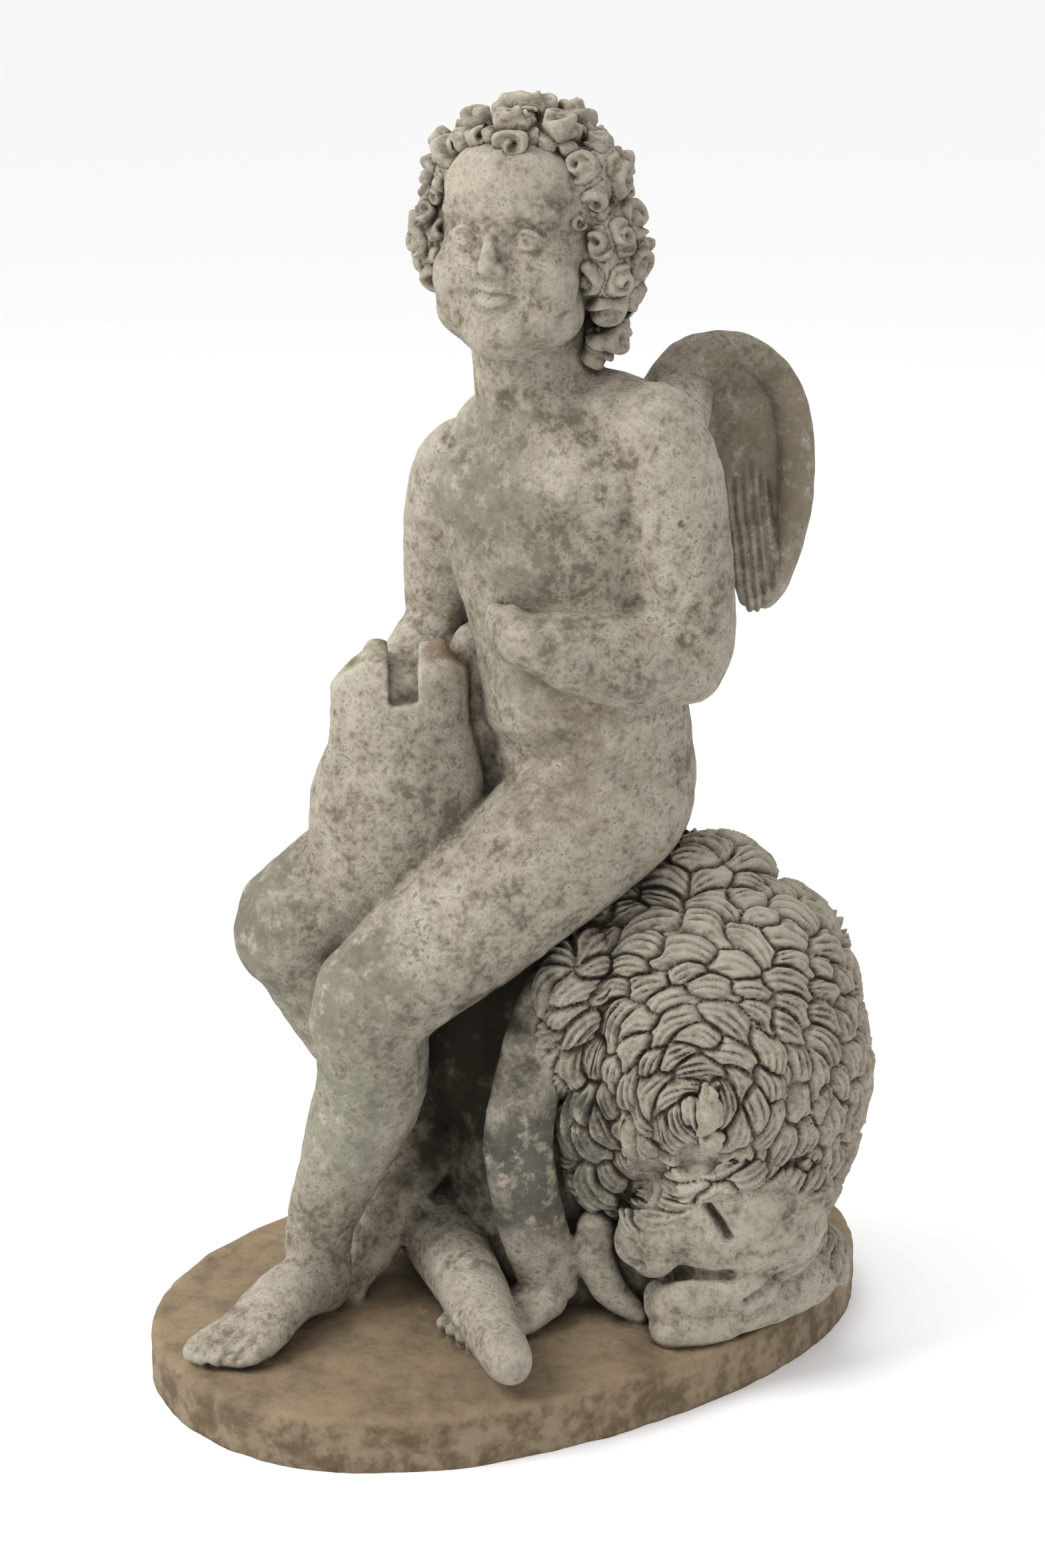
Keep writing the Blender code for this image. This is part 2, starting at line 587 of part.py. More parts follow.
def one_body(piece):
    """Keeps the outer skin and drops any hollow sealed inside it."""
    clay = bmesh.new()
    clay.from_mesh(piece.data)
    left = set(clay.verts)
    islands = []
    while left:
        island, front = set(), [left.pop()]
        while front:
            vert = front.pop()
            island.add(vert)
            for edge in vert.link_edges:
                other = edge.other_vert(vert)
                if other in left:
                    left.discard(other)
                    front.append(other)
        islands.append(island)
    keep = max(islands, key=len)
    bmesh.ops.delete(clay, geom=[v for v in clay.verts if v not in keep], context="VERTS")
    clay.to_mesh(piece.data)
    clay.free()


def soften(piece, spots, iterations, everywhere=0.0):
    """Rubs the stone smooth round each spot, given as x, y, z and reach on the grid."""
    group = piece.vertex_groups.new(name="rubbed")
    places = [(at(*spot[:3]), spot[3] * UNIT) for spot in spots]
    for vert in piece.data.vertices:
        share = max([max(0.0, 1 - (vert.co - place).length / reach) for place, reach in places], default=0.0)
        weight = max(everywhere, min(1.0, share * 1.8))
        group.add([vert.index], weight, "REPLACE")
    rub = piece.modifiers.new("rubbed smooth", "SMOOTH")
    rub.factor = 0.5
    rub.iterations = iterations
    rub.vertex_group = group.name
    settle(piece)


def stone():
    """Weathered pale limestone."""
    material = bpy.data.materials.new("weathered stone")
    material.use_nodes = True
    shader = material.node_tree.nodes["Principled BSDF"]
    shader.inputs["Base Color"].default_value = STONE_COLOUR
    shader.inputs["Roughness"].default_value = STONE_ROUGHNESS
    shader.inputs["Metallic"].default_value = 0.0
    return material


def join(first, *others):
    """Puts the shapes of several pieces into the first one."""
    clay = bmesh.new()
    for piece in (first, *others):
        clay.from_mesh(piece.data)
    clay.to_mesh(first.data)
    clay.free()
    for piece in others:
        bpy.data.objects.remove(piece)


def cut_away(piece, cutter, name):
    """Takes the shape of the cutter out of the piece."""
    cutter.hide_render = True
    cutter.display_type = "WIRE"
    cut = piece.modifiers.new(name, "BOOLEAN")
    cut.operation = "DIFFERENCE"
    cut.solver = "EXACT"
    cut.object = cutter


def sawn_flat(piece):
    """Cuts the underside off level, so that the block stands flat."""
    saw = made_of("saw", lambda clay: bmesh.ops.create_cube(clay, size=1.0))
    saw.data.transform(Matrix.Diagonal((BASE_WIDTH * 2, BASE_LENGTH * 2, BASE_WIDTH, 1)))
    saw.data.transform(Matrix.Translation((0, 0, -BASE_WIDTH / 2)))
    cut_away(piece, saw, "sawn flat")


BLENDS = (
    (110, 40, 640, 60), (-40, -14, 632, 56), (33, 8, 664, 60), (62, 40, 392, 80), (-20, 40, 392, 80),
    (30, 90, 380, 90), (37, 10, 560, 90), (37, 20, 480, 90), (8, -120, 245, 60), (-88, -148, 276, 60),
    (126, 60, 500, 46), (-26, -148, 45, 46), (-30, -62, 110, 46), (34, -8, 730, 50), (-20, -60, 330, 40),
)


def build():
    """Carves the statue: the body first, then what is cut into and laid on it."""
    for old in list(bpy.data.objects):
        bpy.data.objects.remove(old)
    body = made_of("putto_statue", torso, left_leg, right_leg, left_arm, right_arm, head_block, hair_mass)
    melt(body, BODY_GRAIN)
    soften(body, BLENDS, iterations=14, everywhere=0.15)
    skin = bvh_of(body)
    mass = made_of("mane", mane_mass)
    melt(mass, BODY_GRAIN)
    soften(mass, (), iterations=6, everywhere=1.0)
    carving = made_of(
        "carving", seat_rock, pelt_leg, club, lion_head, lion_fang, broken_lyre, face_features, base,
        near_wing, far_wing,
        lambda clay: hair(clay, skin), lambda clay: mane_locks(clay, bvh_of(mass), skin),
    )
    join(body, mass, carving)
    melt(body, CARVED_GRAIN)
    soften(body, (), iterations=2, everywhere=0.8)
    cut_away(body, made_of("chisel", slits, lyre_notch), "deep slits")
    settle(body)
    melt(body, CUT_GRAIN)
    one_body(body)
    thin = body.modifiers.new("fewer faces", "DECIMATE")
    thin.ratio = min(1.0, MOST_TRIANGLES / (2 * len(body.data.polygons)))
    sawn_flat(body)
    body.data.materials.clear()
    body.data.materials.append(stone())


build()
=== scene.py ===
"""The carved and weathered surface of a stone putto on a lion skin, with its stage, light and camera."""

import json
import logging
import math
from collections.abc import Iterator, Sequence
from dataclasses import dataclass, field
from enum import Enum

import bmesh
import bpy
import numpy as np
from mathutils import Matrix, Vector, noise
from mathutils.bvhtree import BVHTree

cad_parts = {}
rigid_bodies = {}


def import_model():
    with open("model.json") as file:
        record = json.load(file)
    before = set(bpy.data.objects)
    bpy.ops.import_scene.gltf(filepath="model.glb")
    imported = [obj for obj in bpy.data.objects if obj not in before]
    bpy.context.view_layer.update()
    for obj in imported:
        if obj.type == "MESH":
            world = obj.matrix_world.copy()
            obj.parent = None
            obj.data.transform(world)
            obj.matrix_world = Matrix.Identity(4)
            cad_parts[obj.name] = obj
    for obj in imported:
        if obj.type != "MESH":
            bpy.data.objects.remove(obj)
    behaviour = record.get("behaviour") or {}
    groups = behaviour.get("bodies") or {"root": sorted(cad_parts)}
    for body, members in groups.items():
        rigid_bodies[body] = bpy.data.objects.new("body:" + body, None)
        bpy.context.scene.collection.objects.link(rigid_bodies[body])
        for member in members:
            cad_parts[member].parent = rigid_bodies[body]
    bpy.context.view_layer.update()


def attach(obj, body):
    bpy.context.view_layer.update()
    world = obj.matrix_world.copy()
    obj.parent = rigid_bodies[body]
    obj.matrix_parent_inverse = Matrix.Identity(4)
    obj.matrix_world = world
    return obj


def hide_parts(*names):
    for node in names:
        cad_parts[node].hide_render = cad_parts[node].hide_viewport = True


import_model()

NODE = "putto_statue"
GOLDEN_ANGLE = math.pi * (3 - math.sqrt(5))
UP = Vector((0, 0, 1))
log = logging.getLogger("putto")

Triple = tuple[float, float, float]
Station = Sequence[float]


class Side(Enum):
    """Which of a pair a limb or wing is, as the figure itself would say."""

    LEFT = 1
    RIGHT = -1


class Grain(Enum):
    """How fine the skin of a lump is, in metres."""

    BODY = 0.0028
    SKIN = 0.0020
    MANE = 0.0015
    HAIR = 0.0013
    WING = 0.0014


class Stroke(Enum):
    """What a chisel stroke does to the skin."""

    CUT = -1
    RAISE = 1


@dataclass(frozen=True)
class Grid:
    """The figure's own grid, whose floor is the top of the base."""

    statue_height: float = 0.900
    base_thickness: float = 0.040
    units: float = 860.0

    @property
    def unit(self) -> float:
        """One grid unit in metres."""
        return (self.statue_height - self.base_thickness) / self.units

    def at(self, x: float, y: float, z: float) -> Vector:
        """The place in metres of a point of the grid."""
        return Vector((x * self.unit, y * self.unit, self.base_thickness + z * self.unit))


GRID = Grid()


def facing(yaw: float) -> Vector:
    """The level direction that a part faces, turned from -Y towards +X by degrees."""
    return Vector((math.sin(math.radians(yaw)), -math.cos(math.radians(yaw)), 0))


def left_of(yaw: float) -> Vector:
    """The figure's own left hand side, for a part that faces that way."""
    return Vector((math.cos(math.radians(yaw)), math.sin(math.radians(yaw)), 0))


def smooth_row(rows: Sequence[Sequence[float]], steps: int) -> list[list[float]]:
    """Joins rows of numbers by a smooth curve through each of them.

    Args:
        rows: The rows to pass through, all of one length.
        steps: How many rows to make from each row to the next.

    Returns:
        The finer rows, from the first row to the last.
    """
    last = len(rows) - 1
    made = []
    for i in range(last):
        a, b, c, d = (np.array(rows[min(max(i + k, 0), last)], float) for k in (-1, 0, 1, 2))
        for step in range(steps):
            t = step / steps
            made.append(list(0.5 * (2 * b + (c - a) * t + (2 * a - 5 * b + 4 * c - d) * t**2
                                    + (3 * b - a - 3 * c + d) * t**3)))
    made.append(list(rows[last]))
    return made


def only(*pieces: bpy.types.Object) -> None:
    """Leaves just these pieces selected, with the first of them active."""
    bpy.ops.object.select_all(action="DESELECT")
    for piece in pieces:
        piece.select_set(True)
    if pieces:
        bpy.context.view_layer.objects.active = pieces[0]


def finish_with(piece: bpy.types.Object, kind: str, **settings: object) -> None:
    """Gives a piece one modifier and applies it.

    Args:
        piece: The piece to work on.
        kind: The modifier's type.
        settings: The modifier's own settings by name.
    """
    only(piece)
    bpy.ops.object.modifier_add(type=kind)
    modifier = piece.modifiers[-1]
    for name, value in settings.items():
        setattr(modifier, name, value)
    bpy.ops.object.modifier_apply(modifier=modifier.name)


def keep_outer(piece: bpy.types.Object) -> None:
    """Deletes the sealed hollows inside a lump, which are the skins that don't reach its highest point."""
    heights = np.empty(len(piece.data.vertices) * 3, np.float32)
    piece.data.vertices.foreach_get("co", heights)
    only(piece)
    bpy.ops.object.mode_set(mode="EDIT")
    bpy.ops.mesh.select_all(action="DESELECT")
    bpy.ops.object.mode_set(mode="OBJECT")
    piece.data.vertices[int(np.argmax(heights[2::3]))].select = True
    bpy.ops.object.mode_set(mode="EDIT")
    bpy.ops.mesh.select_mode(type="VERT")
    bpy.ops.mesh.select_linked()
    bpy.ops.mesh.select_all(action="INVERT")
    bpy.ops.mesh.delete(type="VERT")
    bpy.ops.object.mode_set(mode="OBJECT")


@dataclass(frozen=True)
class Ring:
    """One oval section of a shape, in metres."""

    centre: Vector
    turn: Matrix
    wide: float
    deep: float


class Clay:
    """A heap of closed shapes that are pressed into one lump."""

    def __init__(self, name: str) -> None:
        """Starts an empty heap."""
        self.name = name
        self.heap: list[bpy.types.Object] = []

    def egg(self, centre: Triple, halves: Triple, yaw: float = 0, tilt: float = 0, roll: float = 0) -> None:
        """Adds an egg of clay.

        Args:
            centre: Its middle on the grid.
            halves: Its half axes to its left, to its back and upwards, in grid units.
            yaw: How far it is turned, in degrees from -Y towards +X.
            tilt: How far it nods.
            roll: How far it leans sideways.
        """
        turn = (Matrix.Rotation(math.radians(yaw), 3, "Z") @ Matrix.Rotation(math.radians(tilt), 3, "X")
                @ Matrix.Rotation(math.radians(roll), 3, "Y"))
        only()
        bpy.ops.mesh.primitive_uv_sphere_add(
            segments=24, ring_count=16, radius=GRID.unit, location=GRID.at(*centre), rotation=turn.to_euler()
        )
        ball = bpy.context.object
        ball.scale = halves
        bpy.ops.object.transform_apply(location=True, rotation=True, scale=True)
        self.heap.append(ball)

    def _turn_ring(self, turn: Matrix, centre: Vector) -> None:
        """Turns the selected ring about its centre, one main axis after another."""
        for axis, angle in zip("XYZ", turn.to_euler("XYZ")):
            if abs(angle) > 1e-6:
                bpy.ops.transform.rotate(value=-angle, orient_axis=axis, center_override=centre)

    def loft(self, rings: Sequence[Ring], sides: int = 16) -> bpy.types.Object:
        """Extrudes one closed shape through rings.

        Args:
            rings: The sections, in order.
            sides: How many corners each section has.

        Returns:
            The new shape, which is also on the heap.
        """
        only()
        bpy.ops.mesh.primitive_circle_add(vertices=sides, radius=1, fill_type="NGON")
        shape = bpy.context.object
        bpy.ops.object.mode_set(mode="EDIT")
        first = rings[0]
        bpy.ops.transform.resize(value=(first.wide, first.deep, 1), center_override=(0, 0, 0))
        self._turn_ring(first.turn, Vector())
        bpy.ops.transform.translate(value=first.centre)
        for one, two in zip(rings, rings[1:]):
            bpy.ops.mesh.extrude_region_move(TRANSFORM_OT_translate={"value": two.centre - one.centre})
            self._turn_ring(one.turn.transposed(), two.centre)
            grow = (two.wide / one.wide, two.deep / one.deep, 1)
            bpy.ops.transform.resize(value=grow, center_override=two.centre)
            self._turn_ring(two.turn, two.centre)
        bpy.ops.object.mode_set(mode="OBJECT")
        self.heap.append(shape)
        return shape

    def limb(self, stations: Sequence[Station], side: Sequence[float] = (1, 0, 0), steps: int = 4,
             sides: int = 16) -> bpy.types.Object:
        """Adds a limb with round ends.

        Args:
            stations: x, y, z, half width and, where it isn't round, half depth, in grid units.
            side: The direction in which the half width lies.
            steps: How many sections to make from each station to the next.
            sides: How many corners each section has.

        Returns:
            The new shape.
        """
        rows = smooth_row([list(s) + [s[3]] * (5 - len(s)) for s in stations], steps)
        centres = [GRID.at(*row[:3]) for row in rows]
        rings, last = [], len(rows) - 1
        for i, row in enumerate(rows):
            along = (centres[min(i + 1, last)] - centres[max(i - 1, 0)]).normalized()
            across = (Vector(side) - along * along.dot(Vector(side))).normalized()
            turn = Matrix((across, along.cross(across), along)).transposed()
            rings.append(Ring(centres[i], turn, row[3] * GRID.unit, row[4] * GRID.unit))
        return self.loft(self._capped(rings), sides)

    @staticmethod
    def _capped(rings: list[Ring]) -> list[Ring]:
        """Adds the shrinking sections that round off both ends."""
        whole = list(rings)
        for end, sign in ((rings[0], -1), (rings[-1], 1)):
            reach = min(end.wide, end.deep) * sign
            for angle in (28, 52, 72, 85):
                a = math.radians(angle)
                shift = end.turn.col[2] * reach * math.sin(a)
                ring = Ring(end.centre + shift, end.turn, end.wide * math.cos(a), end.deep * math.cos(a))
                whole.insert(0 if sign < 0 else len(whole), ring)
        return whole

    def stamp(self, pattern: bpy.types.Object, place: Matrix) -> None:
        """Adds a copy of a pattern, with its own mesh, at a place."""
        twin = pattern.copy()
        twin.data = pattern.data.copy()
        twin.data.transform(place)
        bpy.context.scene.collection.objects.link(twin)
        self.heap.append(twin)

    def take(self, *pieces: bpy.types.Object) -> None:
        """Puts finished lumps on the heap."""
        self.heap.extend(pieces)

    def pressed(self, grain: float) -> bpy.types.Object:
        """Makes one skin of the whole heap.

        Args:
            grain: The size of the finest step of the skin, in metres.

        Returns:
            The one lump.
        """
        only(*self.heap)
        if len(self.heap) > 1:
            bpy.ops.object.join()
        lump = self.heap[0]
        lump.name = self.name
        bpy.ops.object.mode_set(mode="EDIT")
        bpy.ops.mesh.select_all(action="SELECT")
        bpy.ops.mesh.normals_make_consistent(inside=False)
        bpy.ops.object.mode_set(mode="OBJECT")
        finish_with(lump, "REMESH", mode="VOXEL", voxel_size=grain, adaptivity=0.0)
        keep_outer(lump)
        self.heap = [lump]
        return lump


class Chisel:
    """Moves the points of a lump's skin, stroke by stroke."""

    def __init__(self, piece: bpy.types.Object) -> None:
        """Reads where the points are and which way the skin faces there."""
        self.piece = piece
        count = len(piece.data.vertices)
        flat = np.empty(count * 3, np.float32)
        piece.data.vertices.foreach_get("co", flat)
        self.points = flat.reshape(-1, 3).astype(float)
        piece.data.vertex_normals.foreach_get("vector", flat)
        self.normals = flat.reshape(-1, 3).astype(float)

    def snapped(self, spot: Triple) -> np.ndarray:
        """The point of the skin that lies nearest to a grid point."""
        gaps = np.linalg.norm(self.points - np.array(GRID.at(*spot)), axis=1)
        return self.points[int(np.argmin(gaps))]

    def near(self, line: Sequence[Triple], reach: float) -> np.ndarray:
        """Works out where a stroke is felt.

        Args:
            line: Grid points along the stroke, which is laid on the skin.
            reach: How far to each side it is felt, in grid units.

        Returns:
            A share from 0 to 1 for each point of the skin.
        """
        spots = [self.snapped(spot) for spot in line]
        closest = np.full(len(self.points), np.inf)
        for one, two in zip(spots, spots[1:] or spots):
            run = two - one
            t = np.clip((self.points - one) @ run / max(run @ run, 1e-12), 0, 1)
            closest = np.minimum(closest, np.linalg.norm(self.points - one - t[:, None] * run, axis=1))
        share = np.clip(1 - (closest / (reach * GRID.unit)) ** 2, 0, 1)
        return share * share

    def stroke(self, line: Sequence[Triple], reach: float, depth: float, kind: Stroke = Stroke.CUT) -> None:
        """Cuts or raises the skin along a line.

        Args:
            line: Grid points along the stroke.
            reach: Half its width, in grid units.
            depth: How deep it goes, in grid units.
            kind: Whether it cuts in or stands out.
        """
        move = self.near(line, reach) * depth * GRID.unit * kind.value
        self.points += self.normals * move[:, None]

    def push(self, spot: Triple, reach: float, way: Vector, depth: float) -> None:
        """Pushes the skin round one grid point in a given direction."""
        self.points += self.near([spot], reach)[:, None] * np.array(way) * depth * GRID.unit

    def roughen(self, size: float, depth: float, seed: float, share: np.ndarray | float = 1.0) -> None:
        """Wears the skin unevenly.

        Args:
            size: The width of one hollow, in metres.
            depth: The most that the skin moves, in metres.
            seed: Where in the pattern to start.
            share: How much of it each point gets.
        """
        start = Vector((seed, 2 * seed, 3 * seed))
        worn = np.array([noise.noise(Vector(p) / size + start) for p in self.points])
        self.points += self.normals * (worn * depth * share)[:, None]

    def done(self) -> None:
        """Puts the moved points back into the piece."""
        self.piece.data.vertices.foreach_set("co", self.points.astype(np.float32).ravel())
        self.piece.data.update()


def rub(piece: bpy.types.Object, spots: Sequence[Station], passes: int, everywhere: float = 0.0) -> None:
    """Rubs the stone smooth.

    Args:
        piece: The lump to rub.
        spots: x, y, z and reach of each place that is rubbed most, in grid units.
        passes: How many times to go over it.
        everywhere: How hard the rest is rubbed, from 0 to 1.
    """
    tool = Chisel(piece)
    weight = np.full(len(tool.points), everywhere)
    for x, y, z, reach in spots:
        weight = np.maximum(weight, np.clip(1.6 * tool.near([(x, y, z)], reach), 0, 1))
    group = piece.vertex_groups.new(name="rubbed")
    for level in range(1, 11):
        chosen = np.flatnonzero(np.round(weight * 10) == level)
        group.add(chosen.tolist(), level / 10, "REPLACE")
    finish_with(piece, "SMOOTH", factor=0.5, iterations=passes, vertex_group=group.name)
    piece.vertex_groups.clear()


class Coil(Enum):
    """How the strands of a lock lie."""

    SNAIL = "wound to a point"
    CRESCENT = "side by side in an arch"


@dataclass(frozen=True)
class LockCut:
    """How one kind of lock is cut, in grid units."""

    coil: Coil
    length: float
    width: float
    strand: float
    swell: float
    groove: float
    arch: float = 1e6
    drilled: float = 0.0
    fullest: float = 1.0
    seam: float = 0.30


class LockCarver:
    """Covers part of a lump's skin with locks: each point belongs to the lock that lies nearest to it."""

    WEAR_SIZE = 0.017

    def __init__(self, chisel: Chisel, share: np.ndarray, pole: Triple, cut: LockCut) -> None:
        """Holds the skin.

        Args:
            chisel: The chisel that moves the skin's points.
            share: How much of the carving each point gets, from 0 to 1.
            pole: The grid point round which the locks turn.
            cut: The kind of lock.
        """
        self.chisel, self.share, self.cut = chisel, share, cut
        self.pole = np.array(GRID.at(*pole))
        count = len(chisel.points)
        self.first, self.second = np.full(count, 9.0), np.full(count, 9.0)
        self.owner = np.zeros(count, int)
        self.along, self.across = np.zeros(count), np.zeros(count)
        self.locks = 0

    def seat(self, index: int) -> None:
        """Sets one lock down, and gives it the points that lie nearest to it.

        Args:
            index: The skin point that is its middle.
        """
        points, cut = self.chisel.points, self.cut
        normal = self.chisel.normals[index]
        outward = points[index] - self.pole
        outward = outward - normal * (outward @ normal)
        outward /= max(np.linalg.norm(outward), 1e-9)
        run = np.cross(normal, outward)
        swing = 0.35 * math.sin(self.locks * 1.7)
        run, outward = (run * math.cos(swing) + outward * math.sin(swing),
                        outward * math.cos(swing) - run * math.sin(swing))
        size = 1 + 0.16 * math.sin(self.locks * 2.4)
        gap = (points - points[index]) / (GRID.unit * size)
        along, up = gap @ run, gap @ normal
        across = gap @ outward + along ** 2 / (2 * cut.arch)
        far = np.sqrt((along / cut.length) ** 2 + (across / cut.width) ** 2 + (up / cut.width) ** 2 * 0.6)
        nearer = far < self.first
        self.second = np.where(nearer, self.first, np.minimum(self.second, far))
        self.first = np.where(nearer, far, self.first)
        self.owner[nearer] = self.locks
        self.along[nearer], self.across[nearer] = along[nearer], across[nearer]
        self.locks += 1

    def cover(self, firsts: Sequence[Triple], most: int = 700) -> None:
        """Sets locks down until no point of the skin is far from one.

        Args:
            firsts: Grid points near which the first locks go.
            most: How many locks there may be.
        """
        for spot in firsts:
            gaps = np.linalg.norm(self.chisel.points - np.array(GRID.at(*spot)), axis=1)
            self.seat(int(np.argmin(gaps)))
        open_skin = self.share > 0.3
        while self.locks < most:
            waiting = np.where(open_skin, self.first, 0)
            index = int(np.argmax(waiting))
            if waiting[index] < self.cut.fullest:
                return
            self.seat(index)

    def carve(self) -> None:
        """Moves the skin into locks with strands, seams between them and drilled middles."""
        cut = self.cut
        edge = np.clip((self.second - self.first) / cut.seam, 0, 1)
        if cut.coil is Coil.SNAIL:
            reach = np.hypot(self.along, self.across)
            sense = np.where(self.owner % 2 == 0, 1, -1)
            wave = reach / cut.strand + sense * np.arctan2(self.across, self.along) / (2 * math.pi) + self.owner * 0.37
            hole = np.clip(1 - (reach / 2.6) ** 2, 0, 1)
        else:
            gather = 1 - 0.45 * np.clip(self.along / cut.length, -1, 1) ** 2
            wave = self.across / (cut.strand * gather) + 0.25 * np.sin(self.owner * 1.3)
            hole = 0.0
        worn = np.array([noise.noise(Vector(p) / self.WEAR_SIZE) for p in self.chisel.points])
        wave = wave + 0.45 * worn
        ridge = (0.5 + 0.5 * np.cos(2 * math.pi * wave)) ** 0.7
        swell = cut.swell * np.sqrt(edge) * (1 - 0.25 * np.clip(self.first, 0, 1) ** 2) - cut.swell * 0.45
        uneven = 0.8 * np.sin(self.owner * 1.1)
        depth = cut.groove * (0.80 + 0.9 * worn)
        move = swell + uneven * edge + depth * (ridge - 0.6) * (0.35 + 0.65 * edge) - cut.drilled * hole
        self.chisel.points += self.chisel.normals * (move * self.share * GRID.unit)[:, None]


@dataclass
class Torso:
    """Pelvis, belly, chest, shoulders and neck."""

    chest_yaw: float = 21
    hip_yaw: float = 8
    shoulder_roll: float = 15
    chest: Triple = (37, 12, 606)

    def sections(self) -> list[Station]:
        """x, y, z, half width, half depth, yaw and roll up the trunk."""
        yaw, roll = self.chest_yaw, self.shoulder_roll
        return [
            (24, 58, 352, 66, 50, 6, 0), (24, 52, 386, 84, 64, 8, 0), (32, 42, 424, 80, 66, 12, 0),
            (38, 34, 462, 77, 64, 15, 1), (39, 26, 506, 78, 62, 18, 4), (38, 18, 550, 84, 62, 20, 8),
            (37, 13, 594, 88, 61, yaw, 12), (36, 13, 630, 78, 52, yaw, roll), (33, 12, 656, 50, 40, yaw, roll),
        ]

    def model(self, clay: Clay) -> None:
        """Adds the trunk and the neck."""
        rings = []
        for x, y, z, wide, deep, yaw, roll in smooth_row(self.sections(), 3):
            lean = Matrix.Rotation(math.radians(yaw), 3, "Z") @ Matrix.Rotation(math.radians(-roll), 3, "Y")
            rings.append(Ring(GRID.at(x, y, z), lean, wide * GRID.unit, deep * GRID.unit))
        clay.loft(rings, sides=28)
        clay.limb([(31, 13, 640, 48), (28, 4, 676, 43), (29, -3, 712, 41), (33, -6, 745, 41)])
        for side in Side:
            sign, yaw = side.value, self.chest_yaw
            breast = Vector(self.chest) + left_of(yaw) * 38 * sign + facing(yaw) * 34 + UP * 8 * sign
            clay.egg(tuple(breast), (42, 22, 34), yaw=yaw)
            slope = Vector((35, 15, 652 + 9 * sign)) + left_of(yaw) * 42 * sign
            clay.egg(tuple(slope), (50, 32, 24), yaw=yaw, roll=20 * sign - self.shoulder_roll)
            seat = Vector((20, 64, 372)) + left_of(self.hip_yaw) * 34 * sign
            clay.egg(tuple(seat), (42, 44, 42), yaw=self.hip_yaw)

    def surface(self, left: float, up: float) -> Triple:
        """A point on the front of the trunk, from the middle of the chest: to its left, and up."""
        front = Vector(self.chest) + left_of(self.chest_yaw) * left + facing(self.chest_yaw) * 62
        return tuple(front + UP * (up + left * math.tan(math.radians(self.shoulder_roll)) * 0.7))

    def carve(self, chisel: Chisel) -> None:
        """Cuts the folds of the chest and belly."""
        chisel.stroke([self.surface(0, 44), self.surface(1, 10), self.surface(2, -26)], 20, 3.0)
        for sign in (-1, 1):
            line = [self.surface(sign * x, y) for x, y in ((14, -32), (38, -36), (62, -24), (72, -6))]
            chisel.stroke(line, 20, 3.0)
            collar = [self.surface(sign * x, y) for x, y in ((10, 52), (36, 56), (62, 50))]
            chisel.stroke(collar, 13, 1.8, Stroke.RAISE)
            chisel.push(self.surface(sign * 38, 2), 30, facing(self.chest_yaw), 3)
        chisel.push((46, -34, 662), 13, -facing(self.chest_yaw), 5)
        chisel.push((62, -36, 456), 44, facing(16), 7)
        chisel.push((48, -30, 446), 12, -facing(16), 4)
        chisel.stroke([(-10, -6, 418), (24, -26, 414), (62, -24, 420), (92, -4, 430)], 20, 4.5)
        chisel.stroke([(88, -22, 398), (104, 6, 414), (112, 36, 424)], 16, 2.5)


@dataclass
class Leg:
    """A thigh, a knee and a calf, from the hip to the ankle."""

    thigh: Sequence[Station]
    calf: Sequence[Station]
    knee: Triple
    knee_halves: Triple

    def model(self, clay: Clay) -> None:
        """Adds the leg without its foot."""
        clay.limb(self.thigh, steps=4, sides=20)
        clay.limb(self.calf, steps=4, sides=20)
        clay.egg(self.knee, self.knee_halves)


@dataclass
class Foot:
    """A bare foot from its heel to five toes side by side."""

    heel: Triple
    ball: Triple
    toes: Triple
    outer: int
    toe_sizes: Sequence[tuple[float, float]] = ((10.5, 12), (8.5, 13), (8, 9), (7.5, 3), (7, -5))
    toe_gap: float = 14
    breadth: float = 34

    def model(self, clay: Clay) -> None:
        """Adds the foot, whose outer toes are shorter."""
        heel, middle, tip = Vector(self.heel), Vector(self.ball), Vector(self.toes)
        along = (tip - heel).normalized()
        across = along.cross(UP).normalized() * self.outer
        instep = heel.lerp(middle, 0.42) + UP * 13
        wide = self.breadth
        clay.limb([(*heel, wide * 0.76, 20), (*instep, wide * 0.84, 23), (*middle, wide, 15),
                   (*middle.lerp(tip, 0.5), wide * 0.92, 10)], side=across)
        clay.limb([(*middle.lerp(tip, 0.3), wide * 0.9, 9), (*middle.lerp(tip, 0.8), wide * 0.86, 8),
                   (*tip, wide * 0.82, 6.5)], side=across)
        for k, (size, reach) in enumerate(self.toe_sizes):
            spread = (k - 2) * self.toe_gap
            root = middle.lerp(tip, 0.2) + across * spread * 0.9 + UP * 3
            end = tip + across * spread + along * reach
            knuckle = root.lerp(end, 0.55) + UP * 2.5
            clay.limb([(*root, size * 0.9), (*knuckle, size * 0.82), (*end, size * 0.92)], steps=3, sides=12)

    def carve(self, chisel: Chisel) -> None:
        """Cuts between the toes and marks their nails."""
        heel, middle, tip = Vector(self.heel), Vector(self.ball), Vector(self.toes)
        along = (tip - heel).normalized()
        across = along.cross(UP).normalized() * self.outer
        for k, (size, reach) in enumerate(self.toe_sizes):
            spread = (k - 2) * self.toe_gap
            end = tip + across * spread + along * (reach + size * 0.3) + UP * size * 0.8
            chisel.stroke([tuple(end - along * size * 0.7)], size * 0.6, 1.4, Stroke.RAISE)
            if k < 4:
                gap = across * (spread + self.toe_gap / 2)
                chisel.stroke([tuple(middle.lerp(tip, 0.5) + gap + UP * 10), tuple(tip + gap + along * 8)], 4.5, 2.5)


